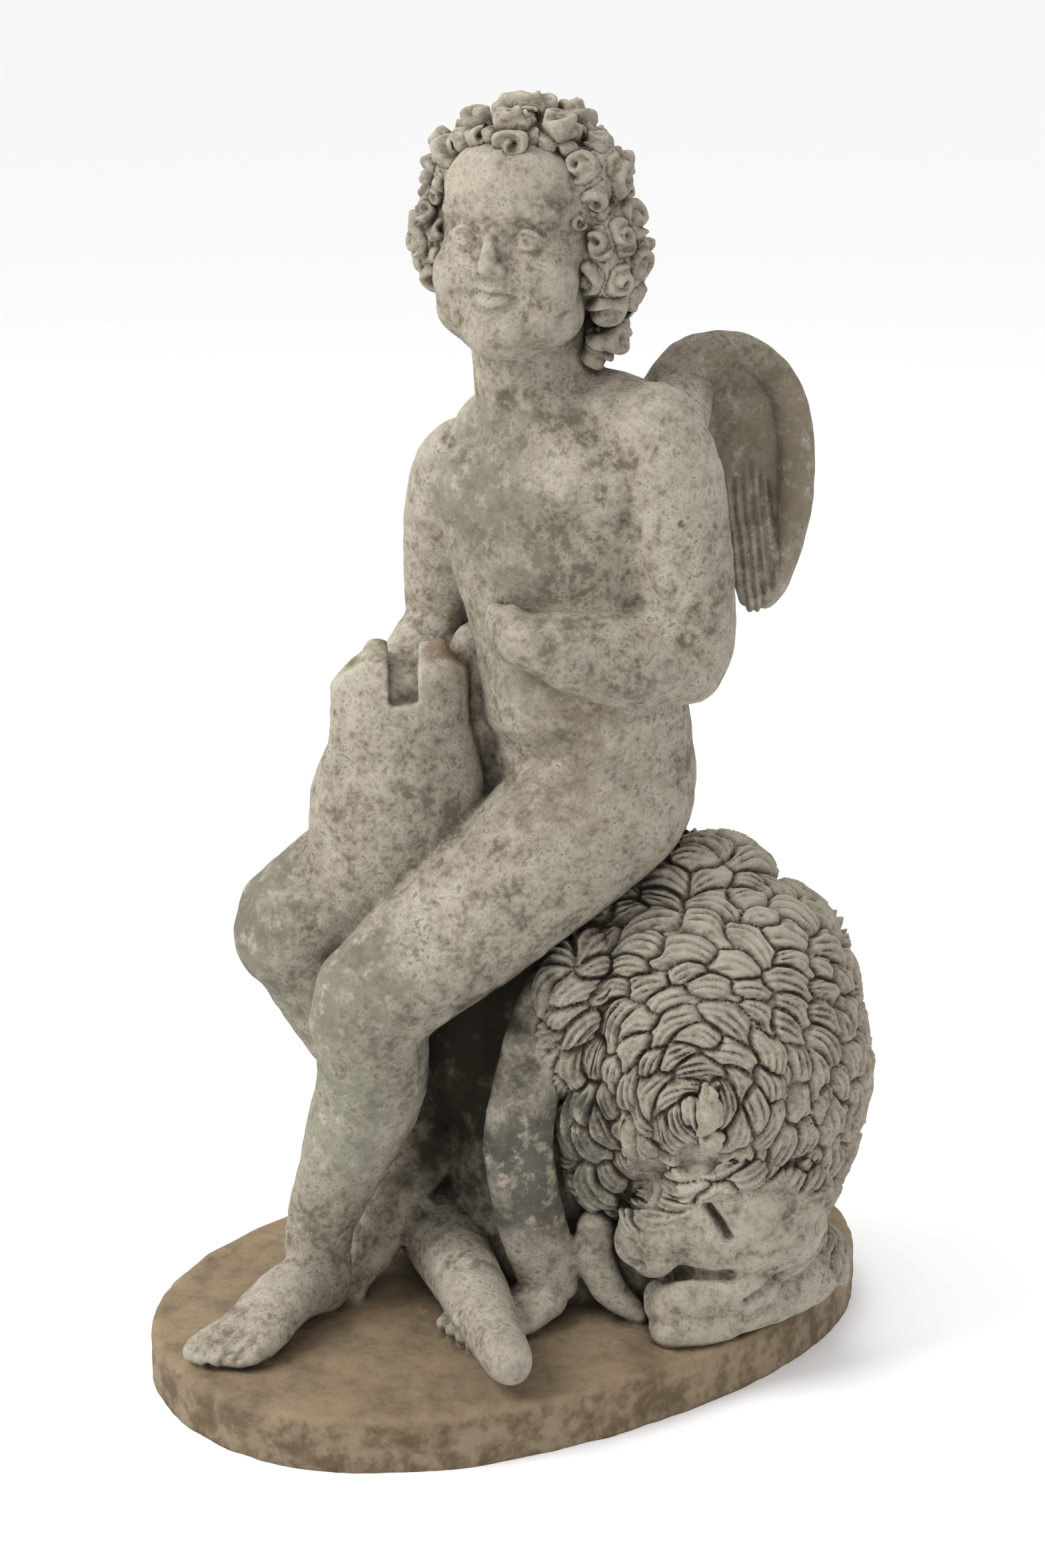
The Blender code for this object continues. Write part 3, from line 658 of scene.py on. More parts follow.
@dataclass
class Arm:
    """An upper arm and a forearm."""

    upper: Sequence[Station]
    fore: Sequence[Station]

    def model(self, clay: Clay) -> None:
        """Adds the arm without its hand."""
        clay.limb(self.upper, steps=4, sides=20)
        clay.limb(self.fore, steps=4, sides=20)


@dataclass
class Hand:
    """A small hand: a palm, four fingers side by side and a thumb."""

    wrist: Triple
    knuckles: Triple
    reach: Triple
    back: Triple
    span: Triple
    finger_sizes: Sequence[float] = (6.8, 7.2, 7.0, 6.2)
    thumb_out: float = 1.9

    def model(self, clay: Clay) -> None:
        """Adds the hand."""
        wrist, knuckles, reach, span = (Vector(v) for v in (self.wrist, self.knuckles, self.reach, self.span))
        side, back = span.normalized(), Vector(self.back)
        clay.limb([(*wrist, 18, 14), (*wrist.lerp(knuckles, 0.6), 21, 12), (*knuckles, 19, 10)], side=side)
        for k, size in enumerate(self.finger_sizes):
            root = knuckles + span * (k - 1.5)
            bend = root + reach * 0.5 + back * 4
            tip = root + reach * (1.05 - 0.09 * abs(k - 1.6)) - back * 2
            clay.limb([(*root, size), (*bend, size * 0.95), (*tip, size * 0.8)], steps=3, sides=12)
        thumb = wrist.lerp(knuckles, 0.45) + span * self.thumb_out
        bend, tip = thumb + reach * 0.3 + span * 0.4, thumb + reach * 0.62 + span * 0.2
        clay.limb([(*thumb, 8), (*bend, 7), (*tip, 6)], steps=3, sides=12)


@dataclass
class Head:
    """The skull and a calm child's face, drawn to a sculptor's usual rule."""

    centre: Triple = (35, -9, 778)
    yaw: float = 33
    lift: float = 6
    eye_spread: float = 22
    eye_height: float = -3
    mouth_height: float = -39

    def place(self, left: float, front: float, up: float) -> Triple:
        """A grid point given from the middle of the head: to its left, to its front and up."""
        lift = math.radians(self.lift)
        forward = facing(self.yaw) * math.cos(lift) + UP * math.sin(lift)
        upward = UP * math.cos(lift) - facing(self.yaw) * math.sin(lift)
        return tuple(Vector(self.centre) + left_of(self.yaw) * left + forward * front + upward * up)

    def model(self, clay: Clay) -> None:
        """Adds the skull, the jaw and the cheeks."""
        eggs = [
            ((0, -6, 14), (58, 66, 56)), ((0, 16, -16), (50, 46, 58)), ((0, 34, -61), (33, 28, 22)),
            ((0, 45, -71), (16, 14, 11)), ((0, 30, 26), (46, 34, 36)),
        ]
        eggs += [((27 * sign, 35, -31), (24, 20, 27)) for sign in (-1, 1)]
        eggs += [((23 * sign, 24, -51), (28, 30, 24)) for sign in (-1, 1)]
        eggs += [((23 * sign, 47, 14), (20, 8, 8)) for sign in (-1, 1)]
        for spot, halves in eggs:
            clay.egg(self.place(*spot), halves, yaw=self.yaw, tilt=-self.lift)

    def carve(self, chisel: Chisel) -> None:
        """Hollows the eye sockets and the place under the lip."""
        back = -facing(self.yaw)
        for sign in (-1, 1):
            chisel.push(self.place(self.eye_spread * sign, 60, self.eye_height), 17, back, 7.5)
            chisel.push(self.place(12 * sign, 60, -13), 12, back, 3)
        chisel.push(self.place(0, 62, -51), 10, back, 2)

    def model_features(self, clay: Clay) -> None:
        """Adds the eyes with their lids, the nose and the lips."""
        side, eye, mouth = left_of(self.yaw), self.eye_height, self.mouth_height
        clay.limb([(*self.place(0, 52, 9), 5), (*self.place(0, 58, -3), 5), (*self.place(0, 62.5, -12), 5.6),
                   (*self.place(0, 65.5, -20), 6.6)], side=side, steps=3, sides=14)
        for sign in (-1, 1):
            x = self.eye_spread * sign
            clay.egg(self.place(6.8 * sign, 61.5, -22.5), (4.8, 5.8, 4.2), yaw=self.yaw)
            clay.egg(self.place(x, 43.5, eye - 1), (12, 11.5, 10), yaw=self.yaw)
            for rise, thick in ((6.6, 2.1), (-5.8, 1.6)):
                lid = [(12, 49, -1.5), (16.5, 53.5, rise * 0.75), (22, 55, rise), (28, 52.6, rise * 0.7),
                       (33.5, 47, -0.5)]
                clay.limb([(*self.place(a * sign, b, eye + c), thick) for a, b, c in lid], steps=3, sides=8)
            lip = [(0.5, 58.6, 2.6), (4.5, 58.8, 3.8), (10, 55.8, 2.2), (16, 50.5, 0)]
            clay.limb([(*self.place(a * sign, b, mouth + c), 2.9 - 0.5 * k) for k, (a, b, c) in enumerate(lip)],
                      steps=3, sides=8)
        low = [(-13, 52, -2), (-7, 56.6, -4.4), (0, 58, -5.4), (7, 56.6, -4.4), (13, 52, -2)]
        clay.limb([(*self.place(a, b, mouth + c), 3.5 - abs(a) * 0.12) for a, b, c in low], steps=3, sides=8)
        clay.egg(self.place(0, 53, -64), (14, 9, 9), yaw=self.yaw)

    def carve_features(self, chisel: Chisel) -> None:
        """Sharpens the lids, the nostrils and the line between the lips."""
        eye, mouth = self.eye_height, self.mouth_height
        for sign in (-1, 1):
            for line, depth in ((((12, 50, 4), (17, 55, 9), (24, 55, 10), (33, 48, 4)), 1.5),
                                (((13, 50, -3), (18, 54, -6), (24, 54, -6.5), (32, 48, -3)), 1.0)):
                chisel.stroke([self.place(a * sign, b, eye + c) for a, b, c in line], 2.8, depth)
            chisel.stroke([self.place(5.4 * sign, 66, -27)], 3.2, 2.4)
        line = ((-15, 52, -0.6), (-7, 59, 0.6), (0, 61, -0.2), (7, 59, 0.6), (15, 52, -0.6))
        chisel.stroke([self.place(a, b, mouth + c) for a, b, c in line], 2.8, 2.0)


@dataclass
class Hair:
    """Thick snail curls round the face, and a knot of them on the crown."""

    head: Head
    cut: LockCut = LockCut(Coil.SNAIL, length=19, width=14.5, strand=7.8, swell=11, groove=5.6, drilled=4,
                           fullest=1.05, seam=0.55)
    knot: Sequence[tuple[float, float, float, float]] = (
        (2, 34, 62, 17), (27, 22, 62, 15), (-24, 26, 60, 15), (4, 8, 70, 17), (-16, -6, 69, 15), (24, -6, 68, 15),
    )
    nape: Sequence[Triple] = ((50, -24, -58), (42, -42, -62), (-46, -30, -60), (20, -52, -64), (-16, -52, -64),
                              (52, -12, -70))

    def bulk(self, clay: Clay) -> None:
        """Adds the mass under the curls."""
        for spot, halves in (((0, -14, 15), (60, 61, 57)), ((-57, -2, -8), (20, 28, 36)), ((57, -8, -14), (20, 30, 40)),
                             ((-46, 8, 36), (20, 26, 26)), ((48, 4, 38), (18, 24, 24))):
            clay.egg(self.head.place(*spot), halves, yaw=self.head.yaw)

    def model(self) -> bpy.types.Object:
        """Models the mass of the hair and carves its curls.

        Returns:
            The hair as one lump.
        """
        clay = Clay("curled_hair")
        self.bulk(clay)
        for left, front, up, size in self.knot:
            clay.egg(self.head.place(left, front, up), (size, size, size * 0.8), yaw=self.head.yaw)
        for spot in self.nape:
            clay.egg(self.head.place(*spot), (12, 12, 12))
        clay.egg(self.head.place(4, -34, -44), (44, 34, 30), yaw=self.head.yaw)
        lump = clay.pressed(Grain.HAIR.value)
        rub(lump, (), passes=14, everywhere=1.0)
        chisel = Chisel(lump)
        firsts = [self.head.place(left * 1.05, front * 1.2, up * 1.2) for left, front, up, _ in self.knot]
        carver = LockCarver(chisel, np.ones(len(chisel.points)), self.head.place(0, 60, 0), self.cut)
        carver.cover(firsts)
        carver.carve()
        chisel.done()
        return lump


@dataclass
class Wing:
    """A short folded wing: a thick rounded rim, small coverts, and long flight feathers in its hollow."""

    side: Side
    yaw: float = 21
    drop: float = 0
    middle: tuple[float, float] = (56, 600)
    flight_width: float = 6.6
    covert_length: float = 10.5
    covert_width: float = 11.0
    rim: Sequence[tuple[float, float, float]] = (
        (10, 656, 20), (26, 680, 17), (46, 688, 13), (66, 685, 12), (84, 671, 12), (96, 650, 12.5), (101, 622, 13),
        (102, 592, 13), (99, 562, 12), (93, 536, 11), (84, 518, 11), (74, 512, 12),
    )

    def spot(self, reach: float, height: float, bow: float = 0.0) -> Vector:
        """A grid point of the wing.

        Args:
            reach: How far it lies outwards from the root.
            height: How high it lies.
            bow: How far it stands out from the wing's flat.

        Returns:
            The point.
        """
        sign = self.side.value
        side, back = left_of(self.yaw) * sign, -facing(self.yaw)
        root = Vector((37, 12, 0)) + back * 56 + side * 40
        out = (back * 0.70 + side * 0.72) if sign > 0 else (back * 0.35 + side * 0.95)
        out.normalize()
        return root + out * reach + out.cross(UP) * sign * bow + UP * (height - self.drop)

    def out(self) -> Vector:
        """The direction in which the wing spreads."""
        return self.spot(1, 0) - self.spot(0, 0)

    def model(self, clay: Clay) -> None:
        """Adds the wing's rim, its shoulder and the sheet between them."""
        out, flat = self.out(), self.spot(0, 0, 1) - self.spot(0, 0, 0)
        clay.limb([(*self.spot(a, b, 1), r * 0.9, r) for a, b, r in self.rim], side=flat, steps=4, sides=18)
        clay.limb([(*self.spot(-12, 618), 22, 20), (*self.spot(8, 640), 22, 20), (*self.spot(28, 664), 18, 14)],
                  side=out, steps=4)
        clay.limb([(*self.spot(50, 676, -3), 34, 9), (*self.spot(58, 640, -4), 42, 8), (*self.spot(62, 600, -5), 42, 7),
                   (*self.spot(66, 560, -5), 36, 7), (*self.spot(72, 525, -4), 22, 6)], side=out, steps=4)
        clay.limb([(*self.spot(34, 640, -2), 12, 10), (*self.spot(36, 600, -3), 12, 10), (*self.spot(44, 560, -3), 12, 9),
                   (*self.spot(58, 528, -3), 10, 8)], side=out, steps=4)
        clay.limb([(*self.spot(68, 560, -2), 26, 10), (*self.spot(74, 532, -1), 22, 10), (*self.spot(76, 512, 0), 14, 9)],
                  side=out, steps=4)

    def carve(self, chisel: Chisel) -> None:
        """Cuts the flight feathers in the wing's hollow, and the small coverts above them."""
        sign = self.side.value
        zero, out = self.spot(0, 0), self.out()
        gaps = chisel.points / GRID.unit - np.array(zero)[None, :]
        reach, height = gaps @ np.array(out), gaps[:, 2]
        mine = np.clip((sign * (gaps @ np.array(left_of(self.yaw))) + 4) / 10, 0, 1)
        rim, own = np.full(len(reach), np.inf), np.zeros(len(reach))
        line = smooth_row([[a, b] for a, b, _ in self.rim], 4)
        for a, b in line:
            gap = np.hypot(reach - a, height - b)
            own = np.where(gap < rim, math.hypot(a - self.middle[0], b - self.middle[1]), own)
            rim = np.minimum(rim, gap)
        mine = mine * np.clip((own - np.hypot(reach - self.middle[0], height - self.middle[1])) / 5, 0, 1)
        inside = np.clip((rim - 10) / 5, 0, 1) * mine
        low = np.clip((646 - height + 6 * np.sin(reach / 5)) / 8, 0, 1)
        fan = (reach + 0.10 * (height - 520)) / self.flight_width
        flights = (0.5 + 0.5 * np.cos(2 * math.pi * fan)) ** 0.6 - 0.62
        row = (height + 0.010 * (reach - 60) ** 2) / self.covert_length
        level = np.floor(row)
        down, side = row - level, reach / self.covert_width + 0.5 * (level % 2)
        scale = (1 - 0.9 * down) * (1 - (2 * (side - np.floor(side)) - 1) ** 2) - 0.3
        cover = np.clip((reach - 20) / 10, 0, 1) * mine * np.clip((rim - 8) / 6, 0, 1)
        move = inside * low * (2.8 * flights - 2.2) + cover * (1 - low) * (1.8 * scale - 1.6)
        chisel.points += chisel.normals * (move * GRID.unit)[:, None]


@dataclass
class Lyre:
    """A lyre's sounding box on the far thigh, whose two arms are broken off beside a square notch."""

    side: Triple = (0.52, 0.85, 0)
    stations: Sequence[Station] = (
        (-34, -74, 318, 62, 44), (-30, -75, 350, 63, 45), (-28, -74, 385, 61, 43), (-27, -73, 410, 54, 38),
        (-27, -74, 430, 49, 34), (-27, -74, 450, 48, 32), (-26, -74, 468, 47, 28), (-26, -74, 478, 46, 20),
        (-26, -74, 481, 43, 10),
    )
    notch: Triple = (-25, -72, 486)
    notch_size: Triple = (31, 130, 68)
    notch_taper: float = 0.66

    def model(self) -> bpy.types.Object:
        """Models the lyre with its notch and its broken tops.

        Returns:
            The lyre as one lump.
        """
        clay = Clay("lyre")
        clay.limb(self.stations, side=self.side, sides=28)
        box = clay.pressed(Grain.BODY.value)
        cutter = self.notch_cutter()
        finish_with(box, "BOOLEAN", operation="DIFFERENCE", solver="EXACT", object=cutter)
        bpy.data.objects.remove(cutter)
        box = clay.pressed(Grain.SKIN.value)
        self.carve(box)
        return box

    def notch_cutter(self) -> bpy.types.Object:
        """Models the block that is cut away between the arms, narrower at its foot.

        Returns:
            The block.
        """
        only()
        turn = math.atan2(self.side[1], self.side[0])
        spot = GRID.at(*self.notch)
        bpy.ops.mesh.primitive_cube_add(size=GRID.unit, location=spot, rotation=(0, 0, turn))
        cutter = bpy.context.object
        cutter.scale = self.notch_size
        bpy.ops.object.transform_apply(location=True, rotation=True, scale=True)
        for face in cutter.data.polygons:
            face.select = face.normal.z < -0.9
        bpy.ops.object.mode_set(mode="EDIT")
        bpy.ops.mesh.select_mode(type="FACE")
        bpy.ops.transform.resize(value=(self.notch_taper, self.notch_taper, 1), center_override=spot)
        bpy.ops.object.mode_set(mode="OBJECT")
        return cutter

    def carve(self, box: bpy.types.Object) -> None:
        """Breaks the tops unevenly and draws the box's line."""
        chisel = Chisel(box)
        for spot, reach, depth in (((-52, -114, 486), 24, 15), ((-36, -90, 490), 13, -3), ((-2, -34, 488), 15, 7),
                                   ((-10, -46, 490), 14, -5), ((-33, -86, 456), 8, 5), ((-44, -102, 488), 8, 4)):
            chisel.push(spot, reach, -UP, depth)
        front = Vector((0.83, -0.56, 0))
        line = [tuple(Vector((-28, -74, 414)) + Vector(self.side) * x + front * 42) for x in range(-48, 49, 12)]
        chisel.stroke(line, 9, 2.2)
        chisel.done()


@dataclass
class SeatRock:
    """The rock that carries the figure, rough in front and plainer behind."""

    lumps: int = 14

    def model(self, clay: Clay) -> None:
        """Adds the rock."""
        clay.limb([(-8, 60, -10, 92, 104), (-8, 62, 60, 88, 101), (-6, 64, 150, 82, 98), (2, 66, 230, 74, 88),
                   (14, 70, 300, 68, 72), (20, 72, 330, 58, 56)], sides=28)
        for k in range(self.lumps):
            turn, height = math.radians(95 + 21 * k), 40 + 57 * (k % 5) + 9 * math.sin(2.3 * k)
            reach = 1 - height / 1500
            spot = (-6 + 74 * reach * math.cos(turn), 64 + 86 * reach * math.sin(turn), height)
            clay.egg(spot, (30, 26, 40), yaw=math.degrees(turn) + 90, tilt=14 * math.sin(k), roll=20 * math.cos(3 * k))
        clay.egg((-26, -6, 190), (46, 54, 86))
        clay.egg((-10, -14, 438), (15, 15, 70))
        clay.egg((-18, -24, 470), (13, 13, 26))


@dataclass
class Mane:
    """The swollen mane, with crescent locks in rings round the lion's ear."""

    ear: Triple = (160, 50, 180)
    face: Sequence[Triple] = ((114, 14, 66), (136, 40, 76), (158, 66, 98), (176, 84, 112), (184, 112, 100))
    clear_of_face: float = 50
    jaw: Sequence[Triple] = ((150, 30, 10), (170, 60, 14), (182, 100, 18), (180, 150, 20))
    clear_of_jaw: float = 38
    lowest: float = 26
    knobs: Sequence[Station] = ((163, 48, 182, 13), (137, 23, 168, 13), (134, 22, 152, 13))
    cut: LockCut = LockCut(Coil.CRESCENT, length=31, width=13.5, strand=5.2, swell=10, groove=4.4, arch=25,
                           fullest=1.0, seam=0.30)

    def bulk(self, clay: Clay) -> None:
        """Adds the mass under the locks."""
        clay.limb([(82, 99, -6, 58, 88), (84, 102, 60, 58, 92), (93, 105, 108, 67, 101), (101, 104, 148, 82, 107),
                   (105, 103, 190, 87, 108), (103, 103, 238, 80, 100), (97, 104, 282, 65, 85), (92, 104, 308, 37, 49)],
                  side=(0.83, -0.56, 0), sides=28)
        clay.egg((52, 60, 240), (46, 50, 84))
        clay.egg((88, 26, 150), (28, 36, 74))
        clay.egg((78, 8, 226), (26, 34, 62))

    def carve(self, chisel: Chisel) -> None:
        """Cuts the locks in rings round the ear, clear of the lion's face."""
        points = chisel.points / GRID.unit
        face, jaw = (np.min([np.linalg.norm(points - np.array(spot), axis=1)
                             for spot in smooth_row([list(spot) for spot in line], 4)], axis=0)
                     for line in (self.face, self.jaw))
        ear = np.min([np.linalg.norm(points - np.array(knob[:3]), axis=1) - knob[3] for knob in self.knobs], axis=0)
        share = np.clip((face - self.clear_of_face) / 6, 0, 1) * np.clip((jaw - self.clear_of_jaw) / 5, 0, 1)
        share *= np.clip(ear / 4, 0, 1) * np.clip((points[:, 2] - self.lowest) / 10, 0, 1)
        carver = LockCarver(chisel, share, self.ear, self.cut)
        carver.cover([])
        log.info("mane: %d locks", carver.locks)
        carver.carve()


@dataclass
class LionHead:
    """The lion's mask on the rim of the base: skull, brow, muzzle, jaw and ear."""

    yaw: float = -34

    def model(self, clay: Clay) -> None:
        """Adds the mask."""
        side = left_of(self.yaw)
        clay.egg((142, 92, 90), (58, 66, 62), yaw=self.yaw)
        clay.egg((150, 100, 70), (44, 60, 44), yaw=self.yaw)
        clay.limb([(150, 84, 104, 44, 34), (143, 62, 95, 36, 30), (133, 44, 80, 30, 26), (124, 30, 68, 23, 21)],
                  side=side, sides=20)
        clay.egg((148, 60, 120), (28, 24, 20), yaw=self.yaw)
        clay.egg((164, 82, 122), (28, 28, 22), yaw=self.yaw)
        clay.egg((180, 112, 104), (22, 30, 30), yaw=self.yaw)
        clay.egg((122, 22, 72), (18, 12, 11), yaw=self.yaw)
        clay.egg((134, 34, 60), (20, 20, 17), yaw=self.yaw)
        clay.limb([(158, 86, 40, 36, 34), (146, 58, 30, 34, 26), (138, 42, 22, 26, 18)], side=side, sides=20)
        clay.limb([(140, 176, 20, 20, 20), (160, 146, 23, 24, 24), (164, 100, 20, 24, 21), (160, 58, 14, 24, 17),
                   (150, 34, 8, 20, 14)], sides=20)

    def carve(self, chisel: Chisel) -> None:
        """Cuts the eye, the brow, the nostril and the fold of the jaw."""
        chisel.push((176, 57, 98), 20, Vector((-0.70, 0.55, 0)), 4)
        chisel.stroke([(164, 40, 122), (172, 47, 126), (182, 58, 122)], 9, 3, Stroke.RAISE)
        chisel.stroke([(164, 46, 102), (170, 54, 88), (176, 66, 76)], 7, 2.5, Stroke.RAISE)
        chisel.stroke([(172, 50, 110), (176, 57, 98), (180, 65, 86)], 5, 9)
        chisel.stroke([(120, 14, 66), (128, 18, 62), (136, 28, 60)], 6, 5)
        chisel.stroke([(134, 30, 46), (150, 50, 42), (164, 76, 46), (178, 108, 52), (186, 138, 66)], 7, 7)
        chisel.stroke([(196, 70, 34), (206, 104, 40), (204, 146, 46)], 6, 5)
        chisel.push((134, 26, 30), 15, Vector((-0.5, 0.8, 0.2)), 10)

    def model_ear(self, clay: Clay) -> None:
        """Adds the small round ear, and the lock that falls from it."""
        clay.egg((163, 48, 182), (14, 12, 14), yaw=self.yaw)
        clay.limb([(138, 24, 178, 9, 9), (136, 22, 162, 12, 11), (133, 22, 144, 9, 9)], side=left_of(self.yaw))
        rim = []
        for k in range(8):
            angle = math.radians(-60 + 27 * k)
            spot = Vector((163, 56, 180)) + left_of(self.yaw) * 25 * math.cos(angle) + UP * 25 * math.sin(angle)
            rim.append((*spot, 4.5))
        clay.limb(rim, side=left_of(self.yaw), steps=2, sides=10)


@dataclass
class Pelt:
    """The skin's hanging fore leg with its paw, and the curved piece before the lion's mouth."""

    toes: int = 4

    def model(self, clay: Clay) -> None:
        """Adds the leg, the paw and the curved piece."""
        clay.limb([(66, -4, 250, 22, 12), (70, -22, 220, 23, 11), (69, -32, 180, 24, 11), (67, -38, 140, 25, 11),
                   (68, -33, 96, 25, 12), (71, -22, 52, 24, 14), (73, -16, 22, 22, 14)], side=(0.56, 0.83, 0), sides=20)
        clay.limb([(72, -20, 16, 22, 14), (74, -44, 12, 26, 13), (76, -66, 10, 26, 11)])
        for k in range(self.toes):
            x = 54 + 13 * k
            clay.limb([(x, -64, 9, 8.5), (x - 2, -80, 9, 8.5), (x - 3, -92, 6, 6)], steps=3, sides=12)
        clay.limb([(92, 12, 72, 12, 14), (92, 10, 48, 13, 14), (102, 18, 22, 14, 12), (118, 32, 6, 10, 8)],
                  side=left_of(-34))

    def carve(self, chisel: Chisel) -> None:
        """Cuts the fold between the leg and the mane."""
        chisel.stroke([(80, -30, 210), (80, -44, 170), (78, -48, 130), (78, -42, 96)], 12, 3)


@dataclass
class Club:
    """The knotty club that lies across the base."""

    knots: Sequence[Triple] = ((-20, -60, 62), (30, -84, 34), (62, -78, 52), (96, -104, 32), (-30, -26, 58))

    def model(self, clay: Clay) -> None:
        """Adds the club."""
        clay.limb([(-82, -26, 38, 36, 34), (-50, -36, 36, 34, 33), (-4, -52, 34, 29, 29), (60, -73, 31, 25, 25),
                   (120, -94, 28, 20, 20), (156, -106, 26, 17, 17)], side=(0, 0, 1), sides=20)
        for k, knot in enumerate(self.knots):
            clay.egg(knot, (8, 7, 5), yaw=20 * k, tilt=15 * k)


@dataclass
class OvalBase:
    """The oval slab, with a worn rim."""

    length: float = 0.552
    width: float = 0.368
    edge_round: float = 0.006
    squareness: float = 2.25
    sides: int = 96
    below: float = 0.012

    def outline(self, inset: float, height: float) -> list[Vector]:
        """The slab's rim at a height, drawn in by an inset."""
        rim = []
        for k in range(self.sides):
            c, s = math.cos(2 * math.pi * k / self.sides), math.sin(2 * math.pi * k / self.sides)
            x = math.copysign(abs(c) ** (2 / self.squareness), c) * (self.width / 2 - inset)
            y = math.copysign(abs(s) ** (2 / self.squareness), s) * (self.length / 2 - inset)
            rim.append(Vector((x, y, height)))
        return rim

    def model(self, clay: Clay) -> None:
        """Adds the slab as a disc that is drawn out to its oval, extruded and bevelled."""
        only()
        bpy.ops.mesh.primitive_circle_add(vertices=self.sides, radius=1, fill_type="NGON", location=(0, 0, -self.below))
        slab = bpy.context.object
        bpy.ops.object.transform_apply(location=True, rotation=True, scale=True)
        for vert, spot in zip(slab.data.vertices, self.outline(0, -self.below)):
            vert.co = spot
        bpy.ops.object.mode_set(mode="EDIT")
        bpy.ops.mesh.select_all(action="SELECT")
        bpy.ops.mesh.extrude_region_move(TRANSFORM_OT_translate={"value": (0, 0, self.below + GRID.base_thickness)})
        bpy.ops.mesh.bevel(offset=self.edge_round, segments=4, affect="EDGES")
        bpy.ops.object.mode_set(mode="OBJECT")
        clay.heap.append(slab)


@dataclass
class Statue:
    """The whole carved block, made as four closed pieces that run into each other."""

    triangles: dict[str, int] = field(default_factory=lambda: {
        "carved_figure": 196000, "curled_hair": 110000, "folded_wings": 110000, "lion_skin": 190000,
    })
    blends: Sequence[Station] = (
        (110, 40, 640, 60), (-40, -14, 606, 56), (33, 8, 664, 60), (56, 36, 392, 80), (-20, 40, 392, 80),
        (30, 90, 380, 90), (37, 10, 560, 90), (37, 20, 480, 90), (8, -120, 245, 60), (-84, -134, 276, 60),
        (126, 60, 500, 46), (-26, -148, 45, 46), (-44, -46, 110, 46), (30, -6, 726, 50), (-20, -60, 330, 40),
        (90, -50, 516, 46), (70, -56, 516, 34), (35, -9, 778, 90),
    )
    torso: Torso = field(default_factory=Torso)
    head: Head = field(default_factory=Head)
    mane: Mane = field(default_factory=Mane)
    lion: LionHead = field(default_factory=LionHead)
    pelt: Pelt = field(default_factory=Pelt)
    near_foot: Foot = field(default_factory=lambda: Foot(
        (-25, -147, 18), (3, -222, 13), (10, -248, 9), -1,
        ((9, 9), (7.5, 10), (7, 6), (6.5, 0), (6.5, -8)), 10.5, 27))
    far_foot: Foot = field(default_factory=lambda: Foot((-42, -40, 92), (-50, -92, 28), (-52, -110, 11), 1))

    def limbs(self) -> Iterator[Leg | Arm | Hand]:
        """The legs, arms and hands."""
        yield Leg([(56, 46, 380, 60), (48, 0, 345, 57), (30, -60, 298, 52), (12, -108, 256, 45), (5, -124, 232, 41)],
                  [(8, -122, 250, 41), (3, -118, 215, 40), (-4, -117, 172, 39), (-13, -128, 132, 34),
                   (-22, -141, 88, 27), (-27, -148, 55, 24), (-26, -147, 28, 24)], (8, -138, 252), (31, 23, 29))
        yield Leg([(-18, 50, 378, 62), (-38, -14, 342, 57), (-62, -78, 308, 52), (-78, -116, 286, 46),
                   (-84, -130, 270, 43)],
                  [(-84, -126, 276, 43), (-77, -112, 240, 41), (-66, -88, 195, 40), (-55, -66, 152, 32),
                   (-48, -52, 120, 27), (-44, -46, 98, 26)], (-88, -142, 284), (32, 24, 32))
        yield Arm([(108, 41, 646, 36), (118, 47, 620, 37), (123, 53, 580, 35), (125, 58, 540, 33), (125, 60, 508, 33),
                   (125, 57, 492, 31)],
                  [(125, 58, 498, 32), (120, 28, 498, 34), (110, -10, 504, 31), (100, -36, 512, 26, 23),
                   (90, -50, 515, 23, 17)])
        yield Arm([(-40, -10, 604, 33), (-48, -12, 590, 33), (-54, -16, 560, 31), (-58, -16, 525, 29),
                   (-60, -14, 496, 29), (-60, -14, 480, 27)],
                  [(-60, -14, 484, 27), (-54, -34, 474, 26), (-47, -52, 468, 22), (-40, -66, 464, 18, 16)])
        yield Hand((92, -47, 515), (72, -53, 517), (-24, 6, 1), (0.3, -0.95, 0), (0, 0, 9), thumb_out=1.3)
        yield Hand((-40, -64, 464), (-34, -80, 460), (8, -14, -14), (-0.3, -0.3, 0.9), (8, 3, 0))

    def press_body(self) -> bpy.types.Object:
        """Models the figure's body.

        Returns:
            The body as one lump, blended and carved.
        """
        clay = Clay("body")
        for part in (self.torso, self.head, *self.limbs(), self.near_foot, self.far_foot):
            part.model(clay)
        Hair(self.head).bulk(clay)
        body = clay.pressed(Grain.BODY.value)
        rub(body, self.blends, passes=26, everywhere=0.2)
        chisel = Chisel(body)
        for part in (self.torso, self.head):
            part.carve(chisel)
        chisel.done()
        return body

    def press_lion(self) -> bpy.types.Object:
        """Models the lion's mane and mask.

        Returns:
            The lion skin as one lump.
        """
        mass_clay, clay = Clay("mane mass"), Clay("lion_skin")
        self.mane.bulk(mass_clay)
        mass = mass_clay.pressed(Grain.BODY.value)
        rub(mass, (), passes=8, everywhere=1.0)
        clay.take(mass)
        self.lion.model(clay)
        self.lion.model_ear(clay)
        lump = clay.pressed(Grain.MANE.value)
        rub(lump, (), passes=10, everywhere=1.0)
        chisel = Chisel(lump)
        self.mane.carve(chisel)
        self.lion.carve(chisel)
        chisel.done()
        return lump

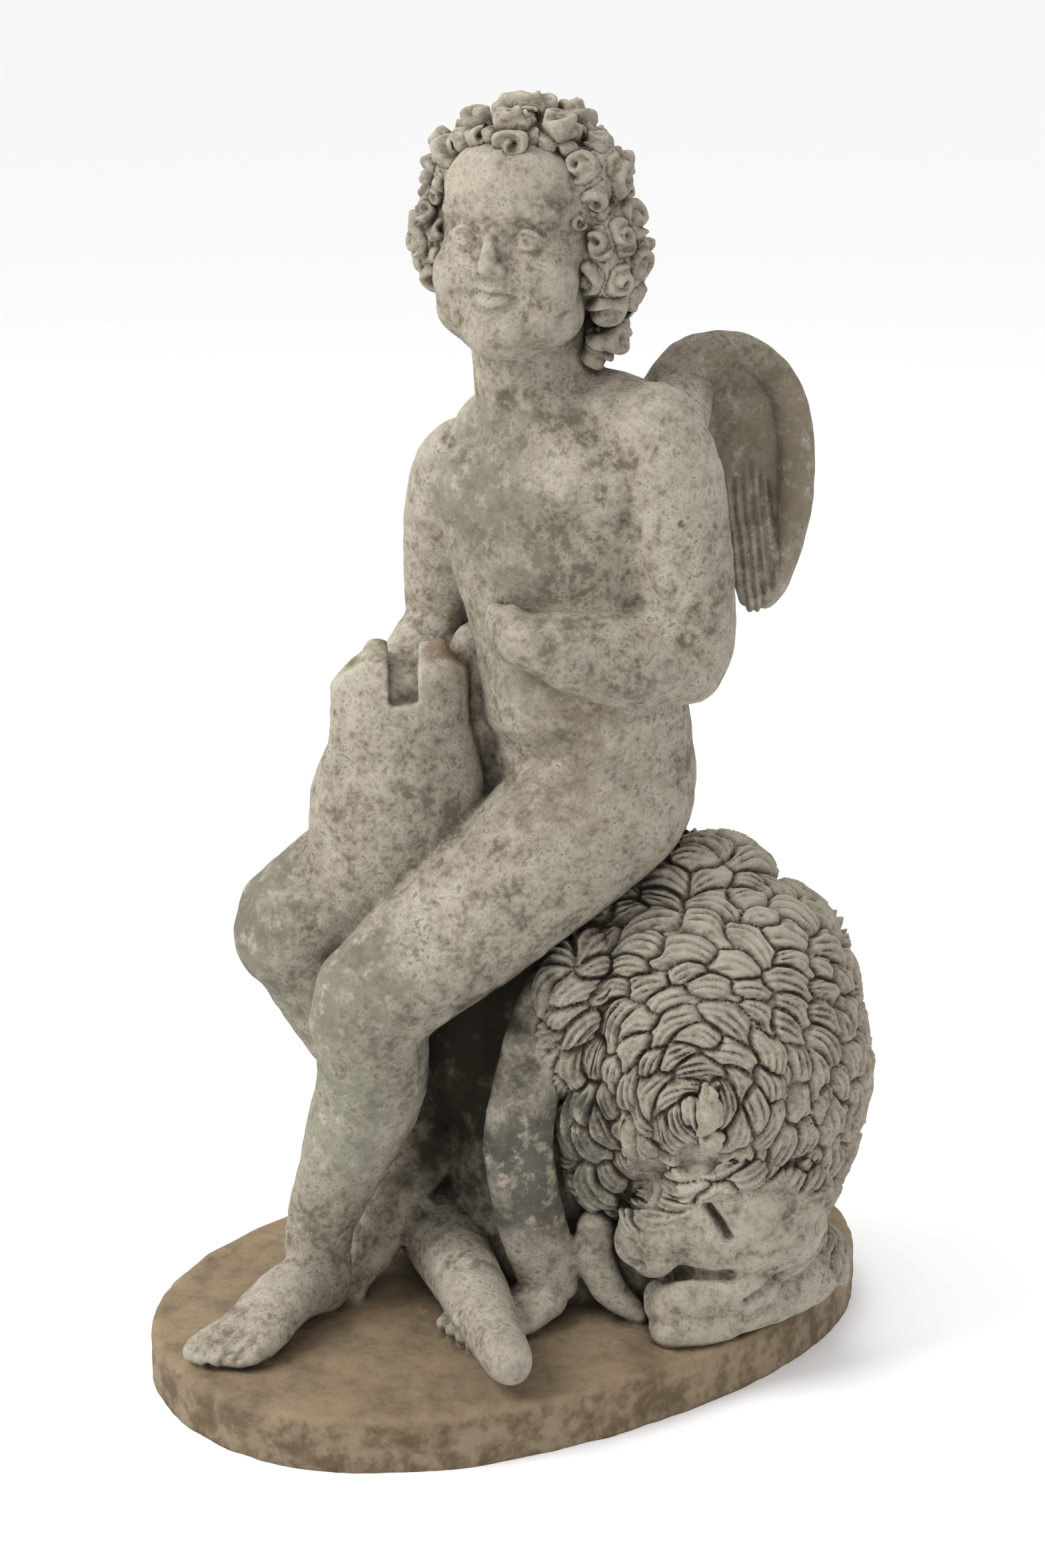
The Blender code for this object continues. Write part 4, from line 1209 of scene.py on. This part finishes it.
    def press_figure(self, body: bpy.types.Object) -> bpy.types.Object:
        """Joins the body, the seat, the lyre, the hanging paw, the club and the base.

        Args:
            body: The figure's body.

        Returns:
            All of them as one lump.
        """
        clay = Clay("carved_figure")
        clay.take(body, Lyre().model())
        for part in (SeatRock(), self.pelt, Club(), OvalBase()):
            part.model(clay)
        self.head.model_features(clay)
        figure = clay.pressed(Grain.SKIN.value)
        chisel = Chisel(figure)
        for part in (self.near_foot, self.pelt):
            part.carve(chisel)
        self.head.carve_features(chisel)
        chisel.done()
        return figure

    def press_wings(self) -> bpy.types.Object:
        """Models both wings.

        Returns:
            The wings with the roots between them as one lump.
        """
        clay = Clay("folded_wings")
        near, far = Wing(Side.LEFT), Wing(Side.RIGHT, drop=58)
        near.model(clay)
        far.model(clay)
        clay.limb([(*near.spot(26, 662), 18), (84, 78, 652, 24), (98, 56, 642, 28)])
        clay.limb([(*near.spot(-6, 622), 20), (*far.spot(-6, 622), 20)])
        lump = clay.pressed(Grain.WING.value)
        rub(lump, (), passes=6, everywhere=1.0)
        chisel = Chisel(lump)
        near.carve(chisel)
        far.carve(chisel)
        chisel.done()
        return lump

    def model(self) -> list[bpy.types.Object]:
        """Carves the block.

        Returns:
            Its pieces, worn, thinned and sawn flat below.
        """
        body = self.press_body()
        log.info("body: %d points", len(body.data.vertices))
        pieces = [self.press_lion()]
        log.info("lion skin: %d points", len(pieces[-1].data.vertices))
        pieces.append(Hair(self.head).model())
        log.info("hair: %d points", len(pieces[-1].data.vertices))
        pieces.append(self.press_wings())
        log.info("wings: %d points", len(pieces[-1].data.vertices))
        pieces.append(self.press_figure(body))
        log.info("figure: %d points", len(pieces[-1].data.vertices))
        for piece in pieces:
            rub(piece, (), passes=2, everywhere=0.5)
            chisel = Chisel(piece)
            self.weather(chisel)
            chisel.done()
            self.thin(piece)
            self.saw_flat(piece)
            log.info("%s: %d faces", piece.name, len(piece.data.polygons))
        return pieces

    def weather(self, chisel: Chisel) -> None:
        """Wears a whole skin, and the base most of all."""
        low = np.clip(1 - (chisel.points[:, 2] - GRID.base_thickness) / (12 * GRID.unit), 0, 1)
        chisel.roughen(0.040, 0.0010, 3.1)
        chisel.roughen(0.011, 0.0007, 7.7)
        chisel.roughen(0.030, 0.0016, 5.9, low)

    def thin(self, piece: bpy.types.Object) -> None:
        """Takes out the points that flat stretches don't need."""
        triangles = 2 * len(piece.data.polygons)
        if triangles > self.triangles[piece.name]:
            finish_with(piece, "DECIMATE", ratio=self.triangles[piece.name] / triangles)

    def saw_flat(self, piece: bpy.types.Object) -> None:
        """Cuts off level whatever hangs below the ground, and closes the cut."""
        only(piece)
        bpy.ops.object.mode_set(mode="EDIT")
        bpy.ops.mesh.select_all(action="SELECT")
        bpy.ops.mesh.bisect(plane_co=(0, 0, 0), plane_no=(0, 0, 1), use_fill=True, clear_inner=True)
        bpy.ops.object.mode_set(mode="OBJECT")


@dataclass
class ShadingMeasures:
    """Measures, point by point, how far it lies in a groove or out on an edge, and how much nearby stone hides it; the
    stone material paints shade from both.
    """

    rays: int = 12
    reach: float = 0.060
    occlusion: str = "occlusion"
    hollow: str = "hollow"
    spread: int = 5
    hollow_depth: float = 0.0012

    def keep(self, piece: bpy.types.Object, name: str, values: np.ndarray) -> None:
        """Stores one number a point on a piece."""
        layer = piece.data.attributes.new(name, "FLOAT", "POINT")
        layer.data.foreach_set("value", values.astype(np.float32))

    def measure_hollow(self, piece: bpy.types.Object) -> None:
        """Compares each point with the skin round it, smoothed: above 0.5 it lies in a groove, below on an edge."""
        tool, count = Chisel(piece), len(piece.data.vertices)
        ends = np.empty(len(piece.data.edges) * 2, np.int32)
        piece.data.edges.foreach_get("vertices", ends)
        one, two = np.concatenate([ends[::2], ends[1::2]]), np.concatenate([ends[1::2], ends[::2]])
        shared = np.maximum(np.bincount(one, minlength=count), 1)
        soft = tool.points.copy()
        for _ in range(self.spread):
            soft = np.stack([np.bincount(one, soft[two, axis], count) / shared for axis in range(3)], axis=1)
        depth = np.einsum("ij,ij->i", soft - tool.points, tool.normals)
        self.keep(piece, self.hollow, np.clip(0.5 + 0.5 * depth / self.hollow_depth, 0, 1))

    def measure_occlusion(self, piece: bpy.types.Object, skin: BVHTree) -> None:
        """Casts rays from every point, and stores the share of them that soon hit stone, from which the material paints
        shade.

        Args:
            piece: The piece to measure.
            skin: The surface of the whole statue.
        """
        directions = []
        for k in range(self.rays):
            z = 1 - (k + 0.5) / self.rays
            flat, angle = math.sqrt(1 - z * z), k * GOLDEN_ANGLE
            directions.append(Vector((flat * math.cos(angle), flat * math.sin(angle), z)))
        values = np.zeros(len(piece.data.vertices))
        for i, vert in enumerate(piece.data.vertices):
            turn = vert.normal.to_track_quat("Z", "Y").to_matrix()
            start = vert.co + vert.normal * 0.0006
            found = 0.0
            for way in directions:
                gap = skin.ray_cast(start, turn @ way, self.reach)[3]
                if gap is not None:
                    found += 1 - gap / self.reach
            values[i] = found / self.rays
        self.keep(piece, self.occlusion, values)

    def measure(self, pieces: Sequence[bpy.types.Object]) -> None:
        """Measures all the pieces against each other."""
        verts, faces, start = [], [], 0
        for piece in pieces:
            verts += [vert.co.copy() for vert in piece.data.vertices]
            faces += [[start + corner for corner in face.vertices] for face in piece.data.polygons]
            start = len(verts)
        skin = BVHTree.FromPolygons(verts, faces)
        for piece in pieces:
            self.measure_hollow(piece)
            self.measure_occlusion(piece, skin)
            log.info("%s: patina measured", piece.name)


Value = "Wire | float"


class Wire:
    """One output of a node, which takes part in sums written in Python."""

    def __init__(self, sheet: "Sheet", socket: bpy.types.NodeSocket) -> None:
        """Holds the socket and the sheet it is on."""
        self.sheet = sheet
        self.socket = socket

    def _sum(self, operation: str, first: Value, second: Value, clamp: bool = False) -> "Wire":
        """Adds one Math node."""
        return self.sheet.add("ShaderNodeMath", {"operation": operation, "use_clamp": clamp}, {0: first, 1: second})

    def __add__(self, other: Value) -> "Wire":
        """This plus the other."""
        return self._sum("ADD", self, other)

    __radd__ = __add__

    def __mul__(self, other: Value) -> "Wire":
        """This times the other."""
        return self._sum("MULTIPLY", self, other)

    __rmul__ = __mul__

    def __sub__(self, other: Value) -> "Wire":
        """This less the other."""
        return self._sum("SUBTRACT", self, other)

    def __rsub__(self, other: Value) -> "Wire":
        """The other less this."""
        return self._sum("SUBTRACT", other, self)

    def __pow__(self, other: Value) -> "Wire":
        """This to the power of the other."""
        return self._sum("POWER", self, other)

    def step(self, low: float, high: float, most: float = 1.0) -> "Wire":
        """A soft step from 0 to most, as this goes from low to high."""
        return self.sheet.add("ShaderNodeMapRange", {"interpolation_type": "SMOOTHSTEP"},
                              {"Value": self, "From Min": low, "From Max": high, "To Min": 0.0, "To Max": most})


class Sheet:
    """The node sheet of one material."""

    def __init__(self, name: str) -> None:
        """Makes an empty material."""
        self.material = bpy.data.materials.new(name)
        self.material.use_nodes = True
        self.tree = self.material.node_tree
        self.shader = self.tree.nodes["Principled BSDF"]

    def add(self, kind: str, settings: dict | None = None, sockets: dict | None = None, out: int | str = 0) -> Wire:
        """Adds one node.

        Args:
            kind: The node's type.
            settings: Its own settings, set first.
            sockets: Values or wires for its inputs, by name or number.
            out: Which output to hand back.

        Returns:
            The wire from that output.
        """
        node = self.tree.nodes.new(kind)
        for name, value in (settings or {}).items():
            setattr(node, name, value)
        for name, value in (sockets or {}).items():
            self.plug(node.inputs[name], value)
        return Wire(self, node.outputs[out])

    def plug(self, socket: bpy.types.NodeSocket, value: object) -> None:
        """Feeds a socket with a wire or a plain value."""
        if isinstance(value, Wire):
            self.tree.links.new(value.socket, socket)
        else:
            socket.default_value = value

    def place(self) -> Wire:
        """Where on the object a point is, in metres."""
        return self.add("ShaderNodeTexCoord", out="Object")

    def cloud(self, place: Wire, size: float, detail: float = 3.0, rough: float = 0.55, shift: float = 0.0) -> Wire:
        """Soft noise whose patches are about size metres across."""
        moved = self.add("ShaderNodeVectorMath", {"operation": "ADD"}, {0: place, 1: (shift, shift * 0.7, shift * 1.3)})
        return self.add("ShaderNodeTexNoise", {}, {"Vector": moved, "Scale": 1 / size, "Detail": detail,
                                                   "Roughness": rough})

    def mix(self, share: object, one: object, two: object) -> Wire:
        """A colour between two, by a share from 0 to 1."""
        node = self.tree.nodes.new("ShaderNodeMix")
        node.data_type = "RGBA"
        for socket, value in ((node.inputs[0], share), (node.inputs[6], one), (node.inputs[7], two)):
            self.plug(socket, value)
        return Wire(self, node.outputs[2])

    def spot(self, place: Wire, centre: Vector, reach: float, ragged: Wire) -> Wire:
        """Draws a ragged round patch.

        Args:
            place: Where on the object a point is.
            centre: The patch's middle.
            reach: How far it goes, in metres.
            ragged: Noise that breaks up its edge.

        Returns:
            1 in its middle, 0 outside.
        """
        distance = self.add("ShaderNodeVectorMath", {"operation": "DISTANCE"}, {0: place, 1: centre}, out="Value")
        return (distance + (ragged - 0.5) * (reach * 1.6)).step(reach, reach * 0.25)


@dataclass(frozen=True)
class ColourPatch:
    """A local patch of colour on the stone: most are stains, some are painted shade or painted light, as marked in the
    list.
    """

    centre: Triple
    reach: float
    colour: Triple
    strength: float


@dataclass(frozen=True)
class StoneFinish:
    """Old garden limestone: mottled and matt, with green on its damp sides, dirt and painted shade in its hollows, and
    some patches of painted shade and painted light.
    """

    pale: Triple = (0.42, 0.38, 0.31)
    middle: Triple = (0.265, 0.232, 0.178)
    dark: Triple = (0.125, 0.106, 0.077)
    lichen: Triple = (0.058, 0.050, 0.037)
    # Dark brown for dirt in hollows and pits, also used for painted shade in grooves and sheltered places.
    grime_and_shade: Triple = (0.026, 0.020, 0.013)
    ochre: Triple = (0.235, 0.170, 0.100)
    earth: Triple = (0.115, 0.080, 0.045)
    rim: Triple = (0.25, 0.195, 0.130)
    roughness: float = 0.93
    patches: Sequence[ColourPatch] = (
        ColourPatch((-46, -108, 484), 0.026, (0.105, 0.115, 0.035), 0.85),
        ColourPatch((-30, -84, 492), 0.016, (0.09, 0.10, 0.035), 0.8),
        ColourPatch((-8, -50, 486), 0.024, (0.17, 0.105, 0.065), 0.75),
        ColourPatch((44, -34, 668), 0.010, (0.05, 0.052, 0.03), 0.8),
        ColourPatch((124, 160, 320), 0.055, (0.16, 0.175, 0.075), 0.55),
        ColourPatch((10, -150, 170), 0.100, (0.185, 0.195, 0.145), 0.55),
        ColourPatch((-90, -150, 250), 0.080, (0.185, 0.195, 0.145), 0.45),
        # Painted shade: a dark grey patch on the hanging fore leg of the skin.
        ColourPatch((72, -30, 130), 0.100, (0.078, 0.075, 0.062), 0.88),
        ColourPatch((76, 160, 640), 0.120, (0.175, 0.145, 0.100), 0.70),
        ColourPatch((90, 170, 580), 0.100, (0.175, 0.145, 0.100), 0.65),
        # Painted shade: greyer patches that darken the lit tops of both knees and the chest.
        ColourPatch((-100, -165, 300), 0.080, (0.135, 0.120, 0.090), 0.85),
        ColourPatch((14, -156, 280), 0.080, (0.150, 0.134, 0.100), 0.78),
        ColourPatch((30, -60, 600), 0.100, (0.155, 0.139, 0.100), 0.70),
        # Painted shade: darker patches on the belly below the near forearm and hand, and above the near thigh.
        ColourPatch((60, -30, 500), 0.060, (0.16, 0.15, 0.10), 0.55),
        ColourPatch((95, -10, 478), 0.050, (0.15, 0.12, 0.085), 0.55),
        ColourPatch((80, -10, 400), 0.070, (0.15, 0.125, 0.09), 0.50),
        ColourPatch((-20, -40, 800), 0.050, (0.10, 0.092, 0.078), 0.60),
        # Painted shadow: near-black patches in the recess under the thighs and in the seat.
        ColourPatch((0, -40, 196), 0.088, (0.030, 0.024, 0.016), 1.0),
        ColourPatch((4, -48, 130), 0.080, (0.030, 0.024, 0.016), 1.0),
        ColourPatch((24, -30, 250), 0.074, (0.030, 0.024, 0.016), 1.0),
        # Painted light: a pale patch that lightens the top of the mane.
        ColourPatch((150, 110, 285), 0.105, (0.38, 0.345, 0.28), 0.75),
    )
    pits: Sequence[tuple[float, float, float, float]] = (
        (150, 34, 596, 0.0045), (158, 38, 560, 0.0055), (152, 36, 528, 0.0045), (144, 24, 618, 0.0035),
        (20, -150, 268, 0.0040),
    )

    def ground(self, sheet: Sheet, place: Wire) -> Wire:
        """Mixes the stone's own mottled colour.

        Args:
            sheet: The node sheet.
            place: Where on the object a point is.

        Returns:
            The colour.
        """
        broad = sheet.cloud(place, 0.110, 3, 0.55, 0.3)
        patchy = sheet.cloud(place, 0.036, 4, 0.60, 1.7)
        mottle = sheet.cloud(place, 0.0125, 4, 0.62, 3.1)
        fine = sheet.cloud(place, 0.0046, 3, 0.65, 5.3)
        tone = broad * 0.18 + patchy * 0.22 + mottle * 0.32 + fine * 0.34
        colour = sheet.mix(tone.step(0.43, 0.54), (*self.dark, 1), (*self.middle, 1))
        colour = sheet.mix(tone.step(0.51, 0.63), colour, (*self.pale, 1))
        specks = (fine * 0.70 + mottle * 0.30 + (patchy - 0.5) * 0.35).step(0.55, 0.64, 0.62)
        return sheet.mix(specks, colour, (*self.lichen, 1))

    def material(self, shading: ShadingMeasures) -> bpy.types.Material:
        """Builds the stone.

        Args:
            shading: The measures of grooves and occlusion that the pieces carry, from which shade is painted.

        Returns:
            The material.
        """
        sheet = Sheet("old garden stone")
        place = sheet.place()
        patchy = sheet.cloud(place, 0.030, 4, 0.62, 9.7)
        mottle = sheet.cloud(place, 0.012, 4, 0.65, 11.1)
        fine = sheet.cloud(place, 0.0040, 4, 0.70, 13.3)
        groove = sheet.add("ShaderNodeAttribute", {"attribute_name": shading.hollow}, out="Fac")
        colour = self.ground(sheet, place)
        colour = sheet.mix((groove + (fine - 0.5) * 0.2).step(0.42, 0.12, 0.35), colour, (*self.pale, 1))
        # Stains, and the patches of painted shade and painted light, laid over the stone one by one.
        for patch in self.patches:
            mask = sheet.spot(place, GRID.at(*patch.centre), patch.reach, patchy) * patch.strength
            gaps = mottle.step(0.34, 0.52) if patch.strength < 1 else 1.0
            colour = sheet.mix(mask * gaps, colour, (*patch.colour, 1))
        for x, y, z, reach in self.pits:
            colour = sheet.mix(sheet.spot(place, GRID.at(x, y, z), reach, fine) * 0.85, colour, (*self.grime_and_shade, 1))
        height = sheet.add("ShaderNodeSeparateXYZ", {}, {0: place}, out="Z")
        wander = height + (mottle - 0.5) * 0.010
        on_top = wander.step(GRID.base_thickness + 0.006, GRID.base_thickness + 0.001)
        on_rim = wander.step(GRID.base_thickness - 0.003, GRID.base_thickness - 0.008)
        soil = sheet.mix((patchy * 0.7 + mottle * 0.3).step(0.28, 0.62), (*self.earth, 1), (*self.ochre, 1))
        colour = sheet.mix(on_top * (mottle * 0.5 + 0.62), colour, soil)
        edge = sheet.mix((patchy * 0.5 + mottle * 0.5).step(0.40, 0.60), (*self.earth, 1), (*self.rim, 1))
        colour = sheet.mix(on_rim * 0.9, colour, edge)
        occluded = sheet.add("ShaderNodeAttribute", {"attribute_name": shading.occlusion}, out="Fac")
        # Dirt and painted shade: grooves and hollows darken towards the dark brown.
        colour = sheet.mix((groove + (fine - 0.5) * 0.5).step(0.62, 1.15, 0.36), colour, (*self.grime_and_shade, 1))
        # Painted shade: darkens each point by how much of the sky the stone round it hides (ambient occlusion).
        colour = sheet.mix((occluded + (mottle - 0.5) * 0.25).step(0.32, 0.80, 0.88), colour, (*self.grime_and_shade, 1))
        sheet.plug(sheet.shader.inputs["Base Color"], colour)
        sheet.shader.inputs["Roughness"].default_value = self.roughness
        sheet.shader.inputs["Specular IOR Level"].default_value = 0.25
        grain = sheet.cloud(place, 0.0018, 3, 0.7, 7.9)
        relief = grain * 0.5 + fine * 0.9 + mottle * 0.7
        bump = sheet.add("ShaderNodeBump", {}, {"Height": relief, "Strength": 0.6, "Distance": 0.0016})
        sheet.plug(sheet.shader.inputs["Normal"], bump)
        return sheet.material


@dataclass(frozen=True)
class Studio:
    """A pale floor, soft lights and the camera."""

    azimuth: float = 56.0
    pitch: float = 19.1
    distance: float = 2.736
    right: float = 0.0087
    rise: float = 0.3962
    lens: float = 85.0
    floor_size: float = 30.0
    floor_colour: Triple = (0.92, 0.92, 0.925)

    def axes(self) -> Matrix:
        """The camera's right, up and back as columns."""
        a, e = math.radians(self.azimuth), math.radians(self.pitch)
        back = Vector((math.sin(a) * math.cos(e), -math.cos(a) * math.cos(e), math.sin(e)))
        right = Vector((math.cos(a), math.sin(a), 0))
        return Matrix((right, back.cross(right), back)).transposed()

    def aim_camera(self) -> None:
        """Puts the camera where the picture was taken from."""
        turn = self.axes()
        spot = turn @ Vector((self.right, self.rise, self.distance))
        bpy.ops.object.camera_add(location=spot, rotation=turn.to_euler())
        camera = bpy.context.object
        camera.data.lens = self.lens
        camera.data.sensor_fit = "VERTICAL"
        camera.data.sensor_height = 36.0
        camera.data.clip_end = 100.0
        bpy.context.scene.camera = camera

    def lay_floor(self) -> None:
        """Adds the floor."""
        only()
        bpy.ops.mesh.primitive_plane_add(size=self.floor_size)
        floor = bpy.context.object
        floor.name = "studio_floor"
        sheet = Sheet("studio floor")
        sheet.shader.inputs["Base Color"].default_value = (*self.floor_colour, 1)
        sheet.shader.inputs["Roughness"].default_value = 0.9
        floor.data.materials.append(sheet.material)

    def hang_lights(self) -> None:
        """Adds a large soft key light from the left, a weak fill and a white surround."""
        turn = self.axes()
        for name, place, size, power in (
            ("key", (-1.5, 1.7, 1.3), 1.1, 40.0), ("top", (-0.2, 2.4, -0.4), 1.4, 14.0),
        ):
            spot = turn @ Vector(place)
            aim = (GRID.at(20, 0, 420) - spot).to_track_quat("-Z", "Y")
            bpy.ops.object.light_add(type="AREA", location=spot, rotation=aim.to_euler())
            light = bpy.context.object
            light.name = name
            light.data.size = size
            light.data.energy = power
        world = bpy.data.worlds.new("surround")
        world.use_nodes = True
        world.node_tree.nodes["Background"].inputs["Color"].default_value = (1.0, 1.0, 1.0, 1.0)
        world.node_tree.nodes["Background"].inputs["Strength"].default_value = 1.0
        bpy.context.scene.world = world
        bpy.context.scene.view_settings.view_transform = "Standard"


def main() -> None:
    """Builds the statue and its stage."""
    logging.basicConfig(level=logging.INFO, format="%(relativeCreated)6d ms  %(message)s")
    studio = Studio()
    studio.aim_camera()
    studio.lay_floor()
    studio.hang_lights()
    pieces = Statue().model()
    shading = ShadingMeasures()
    shading.measure(pieces)
    stone = StoneFinish().material(shading)
    for piece in pieces:
        piece.data.materials.clear()
        piece.data.materials.append(stone)
        only(piece)
        bpy.ops.object.shade_smooth()
        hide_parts(NODE)
        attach(piece, "root")
        log.info("%s: %d triangles", piece.name, sum(len(face.vertices) - 2 for face in piece.data.polygons))


if __name__ == "__main__":
    main()
